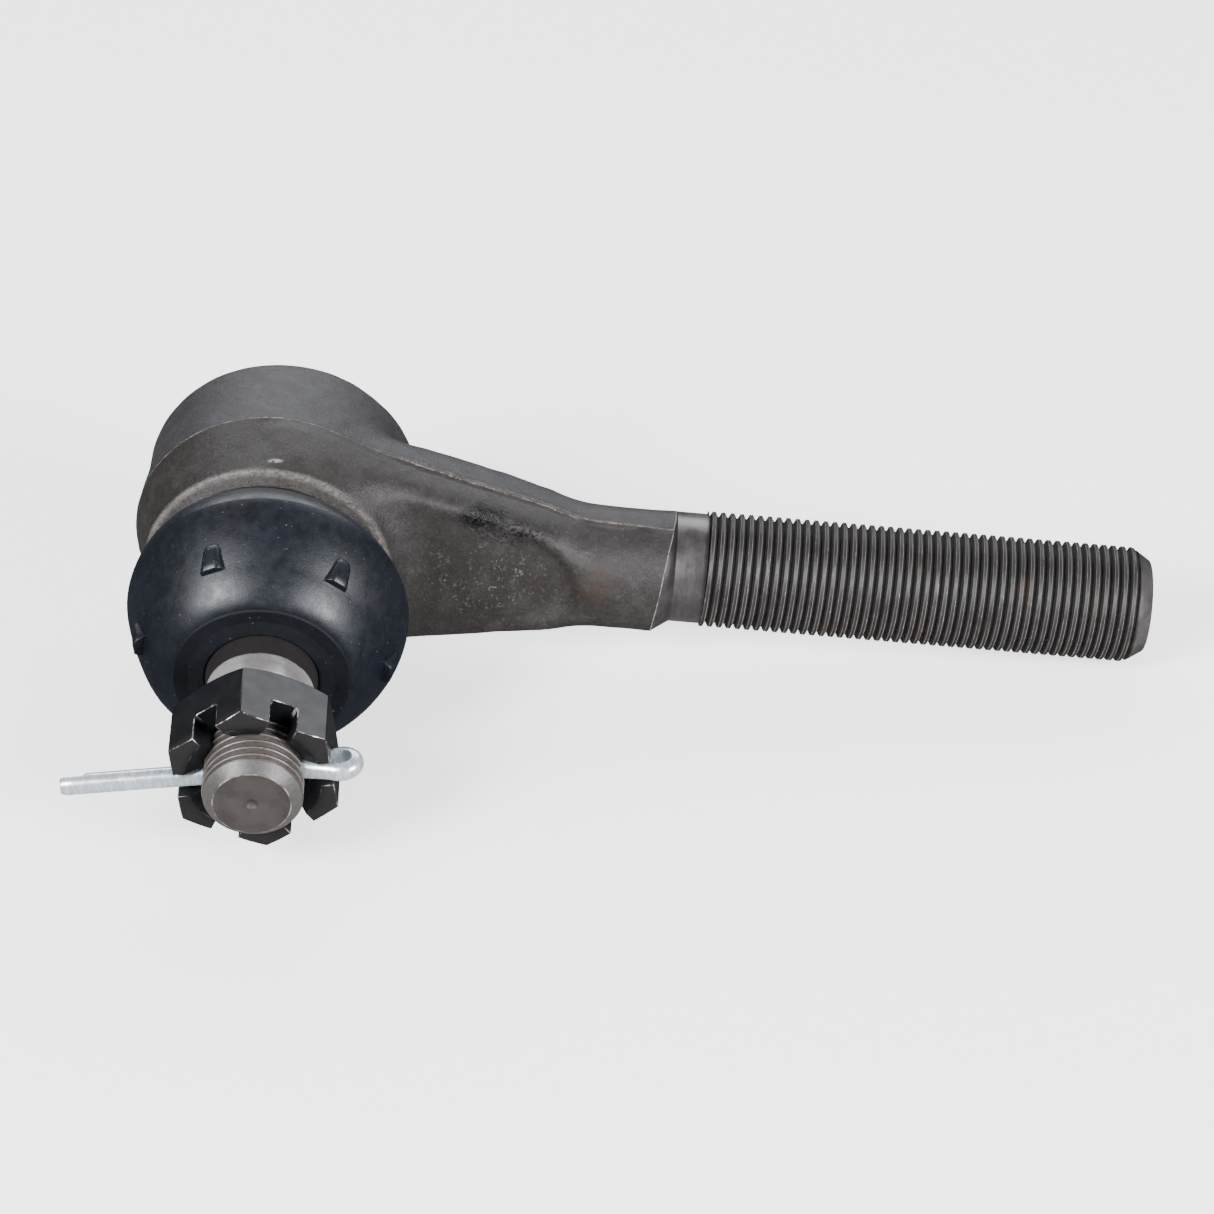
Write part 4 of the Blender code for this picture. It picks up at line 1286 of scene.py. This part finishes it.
# ---------------------------------------------------------------- assembly


def joint(frame, name):
    return next(j for j in frame["joints"] if j["name"] == name)


def basis(origin, x, y, z):
    return Matrix.Translation(origin) @ Matrix((x, y, z)).transposed().to_4x4()


def main():
    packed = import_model()
    origin = Vector(joint(packed, "stud_nod")["pos_m"])
    along = Vector(joint(packed, "stud_nod")["axis"]).normalized()
    out = Vector((0, 1, 0))
    socket = basis(origin, along, out, along.cross(out))
    down_stud = Vector(joint(packed, "stud_spin")["axis"]).normalized()
    swing = Vector(joint(packed, "stud_swing")["axis"]).normalized()
    side = (-down_stud).cross(swing).normalized()
    stud = basis(origin, side, -down_stud, side.cross(-down_stud))
    stud_along_x = basis(origin, down_stud, side, down_stud.cross(side))
    lean = socket.to_3x3().inverted() @ stud.to_3x3()
    slot_turn = Matrix.Rotation(-math.radians(SLOT_TURN), 4, "Y")
    pin_frame = stud @ Matrix.Translation((0, -PIN_AT * MM, 0)) @ slot_turn
    nut_frame = stud @ slot_turn

    def at(x, y, z):
        return tuple(socket @ Vector((x * MM, y * MM, z * MM)))

    neck_look = ("turned_neck_look", socket, (0.120, 0.110, 0.108), (0.19, 0.175, 0.170), 0.34, "x", 0.8)
    spring_look = ("spring_steel_look", socket, (0.10, 0.10, 0.105), (0.18, 0.18, 0.185), 0.35, "y", 0.9)
    cover_look = ("cover_steel_look", socket, (0.05, 0.047, 0.046), (0.08, 0.075, 0.072), 0.5, "y", 0.6)
    neck_steel, spring, cover_steel = (turned_look(*l).material for l in (neck_look, spring_look, cover_look))
    shank_crest, stud_crest = (0.23, 0.21, 0.20), (0.19, 0.17, 0.155)
    shank_thread = thread_look("shank_thread_look", socket, (0.0150, 0.0135, 0.0130), shank_crest, 0.46)
    stud_thread = thread_look("stud_thread_look", stud, (0.045, 0.038, 0.034), stud_crest, 0.36)
    stud_steel, stud_end = stud_steel_look(stud), stud_end_look(stud)
    oxide, worn = oxide_look(stud), worn_edge_look(stud)
    zinc = zinc_look(pin_frame)
    rubber = rubber_look("boot_rubber_look", socket, 0.40, 1.0)
    lip_rubber = rubber_look("boot_lip_rubber_look", socket, 0.66, 0.55)
    plastic = plastic_look(socket)

    forging = make_forging(socket, [forged_look(socket), cone_look(socket)])
    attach(forging, "socket")
    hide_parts("socket_forging")
    shank = make_shank(socket, [neck_steel, shank_thread])
    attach(shank, "socket")

    stud_piece = make_stud(stud_along_x, pin_frame, [stud_steel, stud_thread, stud_end])
    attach(stud_piece, "stud")
    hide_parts("ball_stud")
    nut = make_nut(nut_frame, [oxide, worn])
    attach(nut, "stud")
    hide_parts("castle_nut")
    pin = make_pin(pin_frame, zinc)
    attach(pin, "pin")
    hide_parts("split_pin")

    skirt, neck, front = make_boot(socket, lean, rubber, lip_rubber)
    nibs = make_nibs(socket, lean, rubber, front)
    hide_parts("dust_boot")
    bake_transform(skirt)
    for piece in [neck] + nibs:
        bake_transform(piece)

    cover = make_cover(socket, cover_steel)
    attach(cover, "socket")
    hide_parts("end_cover")

    flexing_copy(packed, "preload_spring", spring)
    flexing_copy(packed, "check_spring", spring)

    looks = {
        "front_bearing_seat": plastic,
        "pressure_seat": plastic,
        "grease_fitting": zinc,
        "check_ball": stud_steel,
        "boot_base_ring": spring,
        "boot_lip_ring": spring,
    }
    for name, look in looks.items():
        node = packed["nodes"][name]
        node.data.materials.clear()
        node.data.materials.append(look)

    make_stage()
    make_camera(socket)


main()
